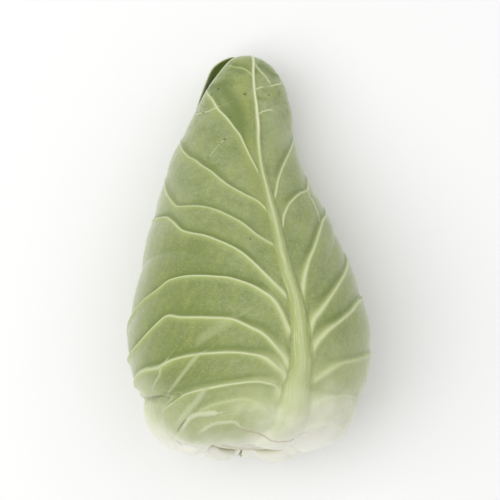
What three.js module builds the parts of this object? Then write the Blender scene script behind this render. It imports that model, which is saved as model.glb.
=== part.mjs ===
// A pointed cabbage lying on its flank: cut stump toward -Y, tip toward +Y,
// its broadest leaf up (+Z). Millimetres.
//
// Every leaf follows one skin, the surface of the head. A place on the skin is
// (s, az): s millimetres along the skin from the stump's middle, az degrees
// round the head, 0 on top and 90 toward +X. A leaf lies a set distance
// outside the skin, so that the leaves are nested without touching.
import * as THREE from 'three'

// The head
const LENGTH = 212 // stump's middle to the tip, along the head's axis
const FULLNESS = [ // share of the length, half width that shapes the girth
  [0, 150], [0.03, 120], [0.09, 86], [0.17, 74], [0.25, 67],
  [0.4, 53.2], [0.55, 42.8], [0.7, 33.5], [0.85, 28.7], [1, 35],
]
const SWAY = [ // along the axis, sideways lean of the middle line
  [0, 0], [77, -1], [122, -5], [157, -8], [187, -3], [222, -2],
]
const DEPTH = 0.94 // front to back against side to side
const BEND_START = 202 // from here the tip curls down
const BEND_RADIUS = 60
const TILT = 10 // the axis falls toward the tip, degrees
const MIDDLE = 102.7 // the origin is this far from the stump, under the middle of the whole
const PRESSED = 3 // how deep the underside is pressed flat where it rests
const SOFT = 1.5 // half width of the soft step round the pressed spot

// The layers
const PITCH = 1.6 // one leaf and the air under it
const BLADE = 0.9 // thickness of a leaf between its ribs
const FLESH = 4 // extra thickness of a leaf base on the heart, less in the layers over it
const ROUNDING = 0.5 // a bare face stands out by this, as its flat facets cut inside the round
const FLOOR = 3 * PITCH // skin to the surface that the head rests on

// The ribs
const MIDRIB_HEIGHT = [
  [21, 3.2], [60, 2.6], [100, 2], [145, 1.5], [187, 1.1], [215, 0.9], [262, 0.5],
]
const MIDRIB_HALF = [
  [21, 12], [45, 9.5], [65, 7.2], [85, 5.2], [105, 4.1], [145, 3], [187, 1.9], [215, 1.4], [262, 0.8],
]
const MIDRIB_SHARE = 0.7 // most of a leaf's width that its midrib takes
const CORD_HEIGHT = [[28, 0.9], [80, 1.1], [150, 0.8], [200, 0.6], [262, 0.35]]
const BANK_LEFT = [[28, 1], [80, 1.5], [115, 1.2], [150, 0.45], [200, 0.2], [262, 0]]
const BANK_RIGHT = [[28, 0.6], [80, 0.5], [150, 0.3], [200, 0.2], [262, 0]]
const RIB_GENTLE = 5 // foot of a side rib on the stump's side
const RIB_STEEP = 1.4 // foot on the tip's side, under the crease
const PUFF = 1.1 // how far a panel between two ribs swells
const STAIR = 0.7 // how far a panel climbs toward the next rib
const STAIR_SHARE = [[21, 0.6], [60, 1], [130, 0.8], [190, 0.3], [262, 0]]

const rad = (d) => (d * Math.PI) / 180
const clamp = (x, lo, hi) => Math.min(hi, Math.max(lo, x))
const smooth = (x) => { const t = clamp(x, 0, 1); return t * t * (3 - 2 * t) }

// A smooth curve through stations [x, y].
function through(stations, at) {
  const n = stations.length
  const x = clamp(at, stations[0][0], stations[n - 1][0])
  let i = 0
  while (i < n - 2 && x >= stations[i + 1][0]) i += 1
  const h = (k) => stations[k + 1][0] - stations[k][0]
  const d = (k) => (stations[k + 1][1] - stations[k][1]) / h(k)
  const slope = (k) => {
    if (k === 0) return d(0)
    if (k === n - 1) return d(n - 2)
    return (d(k - 1) * h(k) + d(k) * h(k - 1)) / (h(k - 1) + h(k))
  }
  const t = (x - stations[i][0]) / h(i)
  const t2 = t * t
  const t3 = t2 * t
  return (2 * t3 - 3 * t2 + 1) * stations[i][1] + (t3 - 2 * t2 + t) * h(i) * slope(i)
    + (3 * t2 - 2 * t3) * stations[i + 1][1] + (t3 - t2) * h(i) * slope(i + 1)
}

// The head before it is laid down: p runs 0 to 1 from stump to tip.
function section(p) {
  const share = (1 - Math.cos(Math.PI * p)) / 2
  return [share * LENGTH, Math.sin(Math.PI * p) * through(FULLNESS, share)]
}

function tilted(p, az) {
  const [a, r] = section(p)
  const turn = Math.max(a - BEND_START, 0) / BEND_RADIUS
  const up = a <= BEND_START ? a : BEND_START + BEND_RADIUS * Math.sin(turn)
  const side = through(SWAY, up) + r * Math.sin(rad(az))
  const front = r * Math.cos(rad(az)) * DEPTH
  const f = front * Math.cos(turn) - BEND_RADIUS * (1 - Math.cos(turn))
  const t = up + front * Math.sin(turn)
  const c = Math.cos(rad(TILT))
  const k = Math.sin(rad(TILT))
  return [side, t * c + f * k - MIDDLE, f * c - t * k]
}

// Millimetres along the skin for steps of p, and the lift that lays it down.
const STEPS = 400
const walked = [0]
for (let i = 1; i <= STEPS; i += 1) {
  const [a0, r0] = section((i - 1) / STEPS)
  const [a1, r1] = section(i / STEPS)
  walked.push(walked[i - 1] + Math.hypot(a1 - a0, r1 - r0))
}
const TIP = walked[STEPS]

function shareAt(s) {
  if (s <= 0) return 0
  if (s >= TIP) return 1
  let lo = 0
  let hi = STEPS
  while (hi - lo > 1) {
    const mid = (lo + hi) >> 1
    if (walked[mid] > s) hi = mid
    else lo = mid
  }
  return (lo + (s - walked[lo]) / (walked[hi] - walked[lo])) / STEPS
}

let lowest = Infinity
for (let i = 0; i <= 200; i += 1) {
  for (let az = 150; az <= 210; az += 2) lowest = Math.min(lowest, tilted(i / 200, az)[2])
}
const LIFT = FLOOR - PRESSED - lowest

function skin(s, az) {
  const [x, y, z] = tilted(shareAt(s), az)
  const above = z + LIFT - FLOOR
  let lifted = above
  if (above <= -SOFT) lifted = 0
  else if (above < SOFT) lifted = (above + SOFT) ** 2 / (4 * SOFT)
  return new THREE.Vector3(x, y, FLOOR + lifted)
}

function outside(s, az, distance) {
  const along = skin(s + 0.4, az).sub(skin(s - 0.4, az))
  const round = skin(s, az + 0.6).sub(skin(s, az - 0.6))
  const out = round.cross(along).normalize()
  return skin(s, az).addScaledVector(out, distance)
}

const girth = (s) => section(shareAt(s))[1]

// The leaves
// Layer 0 lies on the heart. mid, left and right are azimuths along s. Each
// side rib is two curves of [az, s], out from the midrib to the left and to the
// right. The first row of ribs is the leaf's base and the last one its tip;
// strong gives how far each row is a side rib, on the left and on the right.
// lift raises a part of a leaf off the head, and ribs, panels and flesh stand
// out only where the leaf is bare of the leaves over it.
const fan = (mid, reach, base, tip, starts, rise) => {
  const climb = [[0, 0], [0.06, 0.14], [0.25, 0.45], [0.5, 0.7], [0.75, 0.88], [1, 1]]
  const plain = (s) => [[[mid, s], [mid - reach, s]], [[mid, s], [mid + reach, s]]]
  const ribs = starts.map((s) => [-1, 1].map(
    (side) => climb.map(([out, up]) => [mid + side * reach * out, s + rise * up]),
  ))
  return [plain(base), ...ribs, plain(tip)]
}
const allStrong = (count) => [[0, 0], ...Array(count).fill([1, 1]), [0, 0]]

const LEAVES = {
  leaf_1: {
    layer: 3,
    mid: [[21, 24], [43, 25], [68, 26], [88, 24], [105, 22], [117, 20], [150, 19], [173, 19],
      [185, 20], [200, 22], [212, 22], [223, 18], [235, 13], [245, 12], [264, 22]],
    left: [[21, -48], [28, -60], [36, -68], [43, -68], [50, -60], [55, -52], [58, -46], [60, -52],
      [63, -74], [67, -88], [75, -93], [100, -98], [200, -98], [225, -92], [236, -80], [242, -62],
      [250, -47], [258, -38], [264, -34]],
    right: [[21, 100], [28, 104], [35, 106], [45, 111], [70, 116], [200, 116], [228, 108], [244, 84],
      [264, 80]],
    notches: [{ side: 1, at: 249, wide: 4, deep: 0.3 }],
    ribs: [
      [[[25, 21.5], [-110, 22]], [[20, 21.5], [125, 22]]],
      [[[18, 42], [14, 47], [2, 54], [-12, 54], [-28, 51], [-44, 45], [-70, 38], [-95, 34]],
        [[30, 41], [45, 46], [70, 48], [110, 46]]],
      [[[18, 54], [14, 62], [8, 65], [-8, 65], [-26, 61], [-46, 56], [-75, 50], [-95, 47]],
        [[28, 50], [45, 57], [70, 63], [110, 67]]],
      [[[19, 67], [16, 71], [11, 75], [0, 79], [-13, 81], [-30, 80], [-43, 78], [-59, 78], [-98, 73]],
        [[29, 62], [40, 72], [60, 80], [85, 88], [116, 94]]],
      [[[19, 73], [13, 81], [4, 92], [-8, 96], [-25, 98], [-40, 100], [-51, 94], [-68, 91], [-98, 86]],
        [[28, 75], [32, 84], [36, 89], [44, 95], [53, 101], [63, 108], [76, 113], [116, 126]]],
      [[[18, 89], [13, 100], [5, 108], [-7, 115], [-23, 121], [-39, 118], [-54, 112], [-98, 96]],
        [[27, 85], [30, 94], [34, 99], [46, 112], [60, 124], [80, 138], [98, 147], [116, 153]]],
      [[[18, 96], [8, 111], [-8, 121], [-30, 132], [-60, 135], [-98, 130]],
        [[25, 92], [35, 112], [50, 130], [65, 143], [85, 155], [116, 165]]],
      [[[18, 105], [10, 114], [-3, 129], [-21, 141], [-35, 146], [-45, 155], [-63, 159], [-98, 166]],
        [[24, 100], [29, 119], [36, 132], [44, 144], [54, 155], [63, 161], [80, 167], [116, 178]]],
      [[[17, 133], [6, 140], [1, 145], [-17, 157], [-30, 161], [-44, 163], [-57, 174], [-98, 194]],
        [[23, 126], [33, 145], [45, 160], [60, 171], [80, 178], [116, 188]]],
      [[[19, 152], [13, 162], [2, 169], [-11, 175], [-24, 185], [-41, 196], [-55, 202], [-98, 217]],
        [[20, 142], [25, 155], [36, 165], [50, 172], [60, 179], [80, 187], [116, 199]]],
      [[[17, 177], [13, 188], [6, 202], [-2, 210], [-13, 217], [-26, 224], [-41, 233], [-66, 241],
        [-90, 246]],
      [[19, 160], [24, 170], [35, 185], [44, 193], [57, 202], [77, 215], [116, 230]]],
      [[[17, 212], [0, 228], [-13, 236], [-30, 242], [-60, 247], [-90, 251]],
        [[20, 219], [32, 225], [50, 230], [75, 236], [108, 241]]],
      [[[12, 243], [8, 247], [-6, 250], [-20, 253], [-60, 255]],
        [[14, 238], [25, 240], [50, 244], [84, 249]]],
      [[[20, 265], [-110, 265]], [[20, 265], [125, 265]]],
    ],
    strong: [[0, 0], [0.8, 0.6], [1, 0.7], [1, 0.8], [1, 1], [1, 1], [0, 0], [1, 1],
      [0.8, 0], [0.9, 0.9], [1, 0.9], [0, 0.3], [0.6, 0.3], [0, 0]],
    // It comes down to the side leaf round its torn place at the lower left.
    lift: (s, az) => -0.5 * smooth((-30 - az) / 25) * (1 - smooth((s - 64) / 14)) * smooth((s - 36) / 12),
    bare: () => 1,
  },
  leaf_2: {
    layer: 2,
    mid: [[21, 150], [262, 150]],
    left: [[21, 106], [28, 108], [35, 111], [46, 88], [70, 76], [220, 72], [264, 58]],
    right: [[21, 186], [35, 188], [46, 204], [70, 214], [150, 218], [200, 224],
      [222, 244], [236, 262], [264, 262]],
    notches: [],
    ribs: fan(150, 80, 21.5, 264.5, [36, 48, 64, 82, 102, 124, 148, 176, 206], 36),
    strong: allStrong(9),
    // It stands off the tip, most of all at its left wing.
    lift: (s, az) => {
      const wing = smooth((az - 218) / 42)
      const back = smooth((s - 244) / 16) * smooth((az - 130) / 30) * (1 - wing)
      return 3.6 * wing * smooth((s - 220) / 16) + 3.2 * back
    },
    bare: (s, az) => smooth((az - 121) / 8),
  },
  leaf_3: {
    layer: 1,
    mid: [[21, -92], [45, -86], [80, -76], [262, -64]],
    left: [[21, -110], [35, -110], [46, -134], [70, -146], [220, -144], [258, -110]],
    right: [[21, -56], [28, -66], [36, -74], [46, -40], [60, -10], [220, -12], [258, -30]],
    notches: [],
    ribs: fan(-76, 70, 21.5, 258, [38, 52, 70, 92, 116, 142, 172, 204], 34),
    strong: allStrong(8),
    // Its long lower facets cut inside the round, so it stands off a little there.
    lift: (s) => 0.3 * (1 - smooth((s - 60) / 20)),
    bare: (s, az) => {
      const over = Math.min(...[-4, 0, 4].map((ds) => marginOf(LEAVES.leaf_1, -1, s + ds)))
      return smooth((over - az - 6.5) / 7) * smooth((az - marginOf(LEAVES.leaf_2, 1, s) + 358) / 6)
    },
  },
  leaf_4: {
    layer: 0,
    mid: [[21, 74], [262, 74]],
    left: [[21, 36], [60, 30], [220, 30], [258, 44]],
    right: [[21, 112], [60, 120], [220, 120], [258, 104]],
    notches: [],
    ribs: fan(74, 50, 38, 258, [], 0),
    strong: allStrong(0),
    lift: () => 0,
    bare: () => 0,
  },
  leaf_5: {
    layer: 0,
    mid: [[21, -150], [262, -150]],
    left: [[21, -168], [35, -168], [50, -196], [60, -200], [220, -200], [258, -186]],
    right: [[21, -114], [35, -114], [50, -106], [60, -104], [220, -104], [258, -118]],
    notches: [],
    ribs: fan(-150, 50, 21.5, 258, [], 0),
    strong: allStrong(0),
    lift: () => 0,
    // It shows between the back leaf and the side leaf, near the stump.
    bare: (s, az) => smooth((az - marginOf(LEAVES.leaf_2, 1, s + 3) + 357) / 6)
      * smooth((marginOf(LEAVES.leaf_3, -1, s + 6) - 3 - az) / 6) * (1 - smooth((s - 36) / 12)),
  },
}

// How much of its layer's height a leaf has: near the stump it comes down.
const settled = (s) => smooth((s - 22) / 14)

// Azimuth of a margin at s, torn in where the leaf has a notch.
function marginOf(leaf, side, s, t = 1) {
  const mid = through(leaf.mid, s)
  let reach = Math.abs(through(side < 0 ? leaf.left : leaf.right, s) - mid)
  for (const notch of leaf.notches) {
    if (notch.side !== side) continue
    reach *= 1 - notch.deep * Math.exp(-(((s - notch.at) / notch.wide) ** 2)) * t ** 3
  }
  return mid + side * reach
}

// Azimuth at s, t of the way from the midrib's foot to the margin, or x across
// the midrib (-1 to 1). On a narrow base the midrib is a share of the width.
function azimuthAt(leaf, { side, t, x }, s) {
  const mid = through(leaf.mid, s)
  const reach = Math.abs(marginOf(leaf, side, s, t) - mid)
  const broad = (through(MIDRIB_HALF, s) / Math.max(girth(s), 6)) * (180 / Math.PI)
  const foot = Math.min(broad, MIDRIB_SHARE * reach)
  return mid + (t === 0 ? x * foot : side * (foot + t * (reach - foot)))
}

// s where a rib crosses a column, found by halving, as s grows along a column.
function crossing(leaf, [left, right], column) {
  const curve = column.side < 0 ? [...left].reverse() : right
  let low = 15
  let high = 270
  for (let i = 0; i < 24; i += 1) {
    const s = (low + high) / 2
    if (s < through(curve, azimuthAt(leaf, column, s))) low = s
    else high = s
  }
  return (low + high) / 2
}

// s of every rib row on a column. Across the midrib a row runs straight.
const LEAST_GAP = 0.5
function crossings(leaf, column) {
  const rows = leaf.ribs.map((rib) => {
    if (column.t > 0) return crossing(leaf, rib, column)
    const [left, right] = [-1, 1].map((side) => crossing(leaf, rib, { side, t: 0, x: side }))
    return left + ((column.x + 1) / 2) * (right - left)
  })
  for (let k = 1; k < rows.length; k += 1) rows[k] = Math.max(rows[k], rows[k - 1] + LEAST_GAP)
  return rows
}

// How far the outer face stands out of the blade, and how far a panel swells,
// at s between rib rows k and k + 1: ribs climb gently from the stump's side
// and drop steeply on the tip's side.
function reliefAt(leaf, column, k, s) {
  const { side, t, x, rows } = column
  const force = (row) => leaf.strong[row][side < 0 ? 0 : 1]
  const below = s - rows[k]
  const above = rows[k + 1] - s
  if (t === 0) return { rib: through(MIDRIB_HEIGHT, s) * (1 - x * x) ** 2, puff: 0 }
  const fade = smooth((1 - t) / 0.05) * (1 - 0.6 * t)
  const climb = force(k + 1) * smooth(1 - above / RIB_GENTLE)
  const drop = force(k) * smooth(1 - below / RIB_STEEP)
  const bank = through(side < 0 ? BANK_LEFT : BANK_RIGHT, s)
  const rib = (through(CORD_HEIGHT, s) + bank) * Math.max(climb, drop) * fade
  const share = below / (rows[k + 1] - rows[k])
  const swell = Math.sin(Math.PI * share) * Math.min(1, (rows[k + 1] - rows[k]) / 16)
  const rise = force(k + 1) * smooth(share) ** 1.2
  const fall = force(k) * (1 - smooth(below / (RIB_STEEP * 1.2)))
  const stairs = Math.max(rise, fall) * through(STAIR_SHARE, s)
  const across = smooth(t / 0.2) * (1 - 0.6 * smooth((t - 0.8) / 0.2))
  const ends = smooth((s - 30) / 20) * (1 - smooth((s - 240) / 20))
  return { rib, puff: (PUFF * swell + STAIR * stairs) * across * ends }
}

// Where row v meets a column: v counts rib rows, and a fraction lies between two.
function leafPoint(leaf, column, v, outer) {
  const { rows } = column
  const k = clamp(Math.floor(v), 0, rows.length - 2)
  const s = rows[k] + (v - k) * (rows[k + 1] - rows[k])
  const az = azimuthAt(leaf, column, s)
  const { rib, puff } = reliefAt(leaf, column, k, s)
  const bare = leaf.bare(s, az)
  const down = settled(s)
  const inner = PITCH * leaf.layer * down + (PITCH - BLADE) + puff * bare + leaf.lift(s, az)
  const extra = FLESH * (1 - smooth((s - 42) / 36)) * bare * (1 - leaf.layer / 3)
  const flesh = (PITCH * leaf.layer * (1 - down) + extra) * smooth((s - 20) / 9)
  const point = outside(s, az, outer ? inner + BLADE + (rib + ROUNDING) * bare + flesh : inner)
  const least = leaf.layer === 2 ? 0 : 0.4
  point.z = Math.max(point.z, outer ? least : least + 0.8 * BLADE)
  return point
}

// Rows of a leaf: both feet and the crest of each side rib, and panel rows.
// A leaf that is hidden all over has no side ribs, and rows that crowd where
// the head turns in at its ends.
const PLAIN_ROWS = 25
const CROWDED = 0.35

function rowsOf(leaf, columns, longestFacet) {
  const last = leaf.ribs.length - 1
  if (last === 1) {
    return Array.from({ length: PLAIN_ROWS }, (_, i) => {
      const even = i / (PLAIN_ROWS - 1)
      return () => even - (CROWDED * Math.sin(2 * Math.PI * even)) / (2 * Math.PI)
    })
  }
  const rows = [() => 0]
  for (let k = 0; k < last; k += 1) {
    const gap = (c) => Math.max(c.rows[k + 1] - c.rows[k], 2)
    const start = (c) => (k === 0 ? 0 : Math.min(RIB_STEEP / gap(c), 0.25))
    const stop = (c) => (k === last - 1 ? 1 : 1 - Math.min(RIB_GENTLE / gap(c), 0.4))
    const longest = Math.max(...columns.map((c) => gap(c) * (stop(c) - start(c))))
    const steps = clamp(Math.ceil(longest / longestFacet), 1, 6)
    if (k > 0) rows.push(() => k, (c) => k + start(c))
    for (let i = 1; i < steps; i += 1) {
      rows.push((c) => k + start(c) + (i / steps) * (stop(c) - start(c)))
    }
    if (k < last - 1) rows.push((c) => k + stop(c))
  }
  rows.push(() => last)
  return rows
}

function columnsOf(leaf, blade) {
  const left = blade.map((t) => ({ side: -1, t, x: 0 })).reverse()
  const rib = [-1, -0.5, 0, 0.5, 1].map((x) => ({ side: x < 0 ? -1 : 1, t: 0, x }))
  const right = blade.map((t) => ({ side: 1, t, x: 0 }))
  return [...left, ...rib, ...right].map((c) => ({ ...c, rows: crossings(leaf, c) }))
}

// A closed body from a grid of outer points and a grid of inner points.
function closedGrid(outer, inner) {
  const rows = outer.length
  const columns = outer[0].length
  const points = [...outer.flat(), ...inner.flat()]
  const shift = rows * columns
  const index = []
  const at = (i, j) => i * columns + j
  for (let i = 0; i < rows - 1; i += 1) {
    for (let j = 0; j < columns - 1; j += 1) {
      const a = at(i, j)
      const b = at(i, j + 1)
      const c = at(i + 1, j + 1)
      const d = at(i + 1, j)
      index.push(a, b, c, a, c, d)
      index.push(a + shift, c + shift, b + shift, a + shift, d + shift, c + shift)
    }
  }
  const rim = []
  for (let j = 0; j < columns; j += 1) rim.push(at(0, j))
  for (let i = 1; i < rows; i += 1) rim.push(at(i, columns - 1))
  for (let j = columns - 2; j >= 0; j -= 1) rim.push(at(rows - 1, j))
  for (let i = rows - 2; i > 0; i -= 1) rim.push(at(i, 0))
  rim.forEach((a, k) => {
    const b = rim[(k + 1) % rim.length]
    index.push(a, a + shift, b + shift, a, b + shift, b)
  })
  return meshOf(points, index)
}

// A closed body from rings between two end points; faces out.
function closedRings(first, rings, lastPoint) {
  const n = rings[0].length
  const points = [first, ...rings.flat(), lastPoint]
  const end = points.length - 1
  const index = []
  for (let j = 0; j < n; j += 1) {
    const k = (j + 1) % n
    index.push(0, 1 + k, 1 + j)
    for (let i = 0; i < rings.length - 1; i += 1) {
      const a = 1 + i * n
      const b = a + n
      index.push(a + j, a + k, b + k, a + j, b + k, b + j)
    }
    const a = 1 + (rings.length - 1) * n
    index.push(a + j, a + k, end)
  }
  return meshOf(points, index)
}

function meshOf(points, index) {
  const geometry = new THREE.BufferGeometry()
  const flat = points.flatMap((p) => [p.x, p.y, p.z])
  geometry.setAttribute('position', new THREE.Float32BufferAttribute(flat, 3))
  geometry.setIndex(index)
  geometry.computeVertexNormals()
  return geometry
}

function leafBody(leaf, blade, longestFacet) {
  const columns = columnsOf(leaf, blade)
  const rows = rowsOf(leaf, columns, longestFacet)
  const face = (outer) => rows.map((row) => columns.map((c) => leafPoint(leaf, c, row(c), outer)))
  return closedGrid(face(true), face(false))
}

// The stump and the heart
const STUMP = 20 // skin distance from the stump's middle to its rim
const STUMP_OUT = 0.8 // how far the cut stands out of the heart at the middle
const STUMP_GAP = 0.3
const STUMP_EDGE = 1.2 // the cut's edge is broken by this much
const BLUNT = 155 // radius of the head's blunt end, which the cut is level with
const HEART_IN = 0.2 // the heart keeps this far inside the skin
const round = (n) => Array.from({ length: n }, (_, j) => (360 * j) / n)

function stumpBody() {
  const cut = (s) => STUMP_OUT + (s * s) / (2 * BLUNT)
  const ring = (s, distance) => round(32).map((az) => outside(s, az, distance))
  const rings = [
    ring(7, cut(7)), ring(13, cut(13)), ring(STUMP - STUMP_EDGE, cut(STUMP - STUMP_EDGE)),
    ring(STUMP, cut(STUMP) - STUMP_EDGE), ring(STUMP, STUMP_GAP), ring(13, STUMP_GAP), ring(7, STUMP_GAP),
  ]
  return closedRings(outside(0.5, 0, cut(0.5)), rings, outside(0.5, 0, STUMP_GAP))
}

function heartBody() {
  const stops = [8, 17, 27, 37, 47, 58, 70, 82, 94, 107, 121, 135, 149, 164, 180, 196, 212,
    227, 240, 250, 258, 263]
  const rings = stops.map((s) => round(28).map((az) => outside(s, az, -HEART_IN)))
  return closedRings(skin(0, 0), rings, skin(TIP, 0))
}

const part = new THREE.Group()
part.name = 'pointed_cabbage'

function add(name, geometry, colour, roughness) {
  const material = new THREE.MeshStandardMaterial({ color: colour, roughness, metalness: 0 })
  material.name = name
  const mesh = new THREE.Mesh(geometry, material)
  mesh.name = name
  part.add(mesh)
}

// How far out each column of a leaf's grid lies, and the longest facet along s.
const FINE = [0.09, 0.2, 0.31, 0.43, 0.55, 0.67, 0.79, 0.9, 1]
const BROAD = [0.1, 0.22, 0.36, 0.5, 0.64, 0.78, 0.9, 1]
const PLAIN = [0.12, 0.27, 0.42, 0.57, 0.72, 0.87, 1]
add('stem', stumpBody(), 0xe0dcc4, 0.7)
add('heart', heartBody(), 0xb9c77f, 0.6)
add('leaf_1', leafBody(LEAVES.leaf_1, FINE, 12), 0x9dab70, 0.55)
add('leaf_2', leafBody(LEAVES.leaf_2, BROAD, 14), 0x93a468, 0.55)
add('leaf_3', leafBody(LEAVES.leaf_3, BROAD, 13), 0x98a86c, 0.55)
add('leaf_4', leafBody(LEAVES.leaf_4, PLAIN, 12), 0xa2b175, 0.55)
add('leaf_5', leafBody(LEAVES.leaf_5, PLAIN, 12), 0xa0b073, 0.55)

export default part
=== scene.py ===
"""A pointed cabbage lying on its flank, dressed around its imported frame.

Every leaf follows one skin, the surface of the head. A place on the skin is
(s, az): s millimetres along it from the middle of the stump, az degrees round
the head, 0 on top and 90 toward +X. All surfaces are worked out in millimetres
and become metres when they are made into meshes.
"""

from types import SimpleNamespace

import bpy
import numpy as np
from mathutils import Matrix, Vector


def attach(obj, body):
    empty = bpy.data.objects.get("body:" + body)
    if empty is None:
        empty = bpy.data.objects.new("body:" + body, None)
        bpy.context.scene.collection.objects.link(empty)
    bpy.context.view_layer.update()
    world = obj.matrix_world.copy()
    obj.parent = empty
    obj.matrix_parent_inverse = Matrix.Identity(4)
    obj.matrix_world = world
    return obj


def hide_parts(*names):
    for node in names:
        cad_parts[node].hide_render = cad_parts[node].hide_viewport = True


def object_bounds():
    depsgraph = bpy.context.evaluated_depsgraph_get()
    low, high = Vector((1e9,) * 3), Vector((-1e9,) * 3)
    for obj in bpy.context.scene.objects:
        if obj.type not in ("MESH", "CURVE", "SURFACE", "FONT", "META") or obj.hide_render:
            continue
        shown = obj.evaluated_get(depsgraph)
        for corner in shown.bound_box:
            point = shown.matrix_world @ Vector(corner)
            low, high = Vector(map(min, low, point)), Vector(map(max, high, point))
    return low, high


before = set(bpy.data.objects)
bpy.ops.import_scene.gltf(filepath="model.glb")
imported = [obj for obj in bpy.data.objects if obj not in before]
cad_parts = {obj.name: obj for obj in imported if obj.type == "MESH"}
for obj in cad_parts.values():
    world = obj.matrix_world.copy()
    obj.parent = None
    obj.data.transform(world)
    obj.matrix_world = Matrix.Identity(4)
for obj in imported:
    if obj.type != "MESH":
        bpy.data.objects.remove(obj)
CAD_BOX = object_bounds()

bl_info = {
    "name": "Pointed cabbage",
    "version": (1, 0, 0),
    "blender": (4, 5, 0),
    "location": "View3D > Sidebar > Cabbage",
    "description": "Builds the heart, stump and leaves of a pointed cabbage and its stage",
    "category": "Add Mesh",
}

MM = 0.001

# The head, as in the part's source.
FULLNESS = [
    (0, 150), (0.03, 120), (0.09, 86), (0.17, 74), (0.25, 67),
    (0.4, 53.2), (0.55, 42.8), (0.7, 33.5), (0.85, 28.7), (1, 35),
]
SWAY = [(0, 0), (77, -1), (122, -5), (157, -8), (187, -3), (222, -2)]
DEPTH = 0.94
BEND_START = 202
BEND_RADIUS = 60
TILT = 10
MIDDLE = 102.7
PRESSED = 3
SOFT = 1.5

# How finely the skin is measured: along its outline, over its underside as rows and
# azimuths, and the steps in s and in azimuth that its normal is taken over.
OUTLINE_POINTS = 401
UNDERSIDE_ROWS = 201
UNDERSIDE_AZ = (150, 211, 2.0)
NORMAL_STEPS = (0.4, 0.6)
LATTICE = 64

# The ribs: heights and half widths in millimetres, and shares, most as tables over s.
# A bank starts BANK_BEFORE short of a branch and ends BANK_AFTER behind it.
MIDRIB_HEIGHT = [(21, 3.2), (60, 2.6), (100, 2.0), (145, 1.5), (187, 1.1), (215, 0.9), (262, 0.5)]
MIDRIB_HALF = [
    (21, 12), (45, 9.5), (65, 7.2), (85, 5.2), (105, 4.1), (145, 3),
    (187, 1.8), (205, 1.3), (222, 0.9), (262, 0.7),
]
MIDRIB_SHARE = 0.7
# How wide the midrib's pale crest is across it: partly the vein's own pale colour, partly a painted
# highlight.
MIDRIB_CREST = [(90, 0.42), (150, 0.3), (195, 0.3), (215, 0.65)]
CORD_HEIGHT = [(28, 0.9), (80, 1.1), (150, 0.8), (200, 0.6), (262, 0.35)]
CORD_HALF = [(28, 1.8), (80, 1.5), (120, 1.2), (160, 0.85), (200, 0.7), (262, 0.5)]
BANK_LEFT = [(28, 1.0), (80, 1.5), (115, 1.2), (150, 0.45), (200, 0.2), (262, 0)]
BANK_RIGHT = [(28, 0.6), (80, 0.5), (150, 0.3), (200, 0.2), (262, 0)]
STAIR_SHARE = [(21, 0.6), (60, 1), (130, 0.8), (190, 0.3), (262, 0)]
BANK_BEFORE = 6
BANK_AFTER = 1.1

# How far the back leaf's left wing stands off the tip.
FLARE = [
    (202, 0), (211, 1.2), (219, 2.7), (228, 3.3), (236, 3.4), (242, 3.5),
    (248, 4.1), (255, 6.2), (265, 5.2),
]

# Stretches along s, in the order in which a form grows from nothing to full.
SETTLES = (22, 36)
RIBS_END = (267, 255)
RIBS_BROADEN = (150, 100)
TAPER_LESSENS = (120, 160)
CROWN_SHARPENS = (160, 70)
PANELS_START = (30, 50)
PANELS_STOP = (260, 240)
FLESHY = (78, 42)
OFF_STUMP = (20, 29)

# The deep green panels at the lower left, partly their own colour and partly painted shade: stretches along
# s, and one along az.
LOW_PANELS_TOP = (165, 125)
LOW_PANELS_FOOT = (50, 75)
LOW_PANELS_LEFT = (4, -30)

# The band beside the midrib, in millimetres across: its middle and half its width.
BAND = (-5.0, 3.5)

# The grids: where a rib row is looked for and how finely, how far rows keep apart,
# the rows from one rib to the next, and how rows and columns crowd at the ribs.
SEARCH = (15.0, 270.0)
HALVINGS = 24
LEAST_GAP = 0.02
ROW_COUNTS = (9, 40)
ROW_CROWDING = 0.72
COLUMN_CROWDING = 1.15

# The least height over the floor, but for the leaf that the head rests on, and the
# least thickness of a blade under a dent, as a share.
OVER_FLOOR = 0.4
THINNEST = 0.35

# The stump, in millimetres: the radius of its blunt end, where its face starts and how
# far inside the edge it stops, two rings inside and below the edge that round it, the
# wall's start below the edge and its end, and the height and the rings of its foot.
BLUNT = 155
STUMP_FACE = (0.8, 1.2)
STUMP_ROUNDING = [(0.5, 0.15), (0.12, 0.55)]
STUMP_WALL = (1.2, 0.9)
STUMP_FOOT = 0.3
STUMP_FOOT_RINGS = (13.0, 7.0, 1.0)
STUMP_FACE_ROWS = 22
STUMP_COLUMNS = 128

# The heart: where its rings end, how far inside the skin it lies, and its points.
HEART_END = 3
HEART_INSET = 0.05
HEART_ROWS = 90
HEART_COLUMNS = 96

# What the finish of a leaf reads at each point, first what shows only where it is bare.
BARE_MARKS = ("line", "body", "stalk", "bank", "crease_shade", "fold")
MARKS = (*BARE_MARKS, "panel", "rim", "beside", "along", "turned", "inside")

# Millimetres to one unit of a leaf's map, and the slant of its streaks in radians.
MAP_UNIT = 100
SLANT = 0.95

# Each leaf's columns on a wing and on the midrib, its step between rows, how many
# millimetres further up it is pale, its slot and the name of its piece.
LEAF_PLANS = {
    "leaf_1": (70, 17, 1.35, 0, "leaf", "ribbed_front_leaf"),
    "leaf_2": (70, 19, 1.3, 4, "leaf", "ribbed_back_leaf"),
    "leaf_3": (56, 17, 1.5, 0, "leaf", "ribbed_side_leaf"),
    "leaf_4": (26, 11, 4.0, 22, "inner_leaf", "inner_leaf_right"),
    "leaf_5": (26, 11, 4.0, 22, "inner_leaf", "inner_leaf_under"),
}

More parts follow.
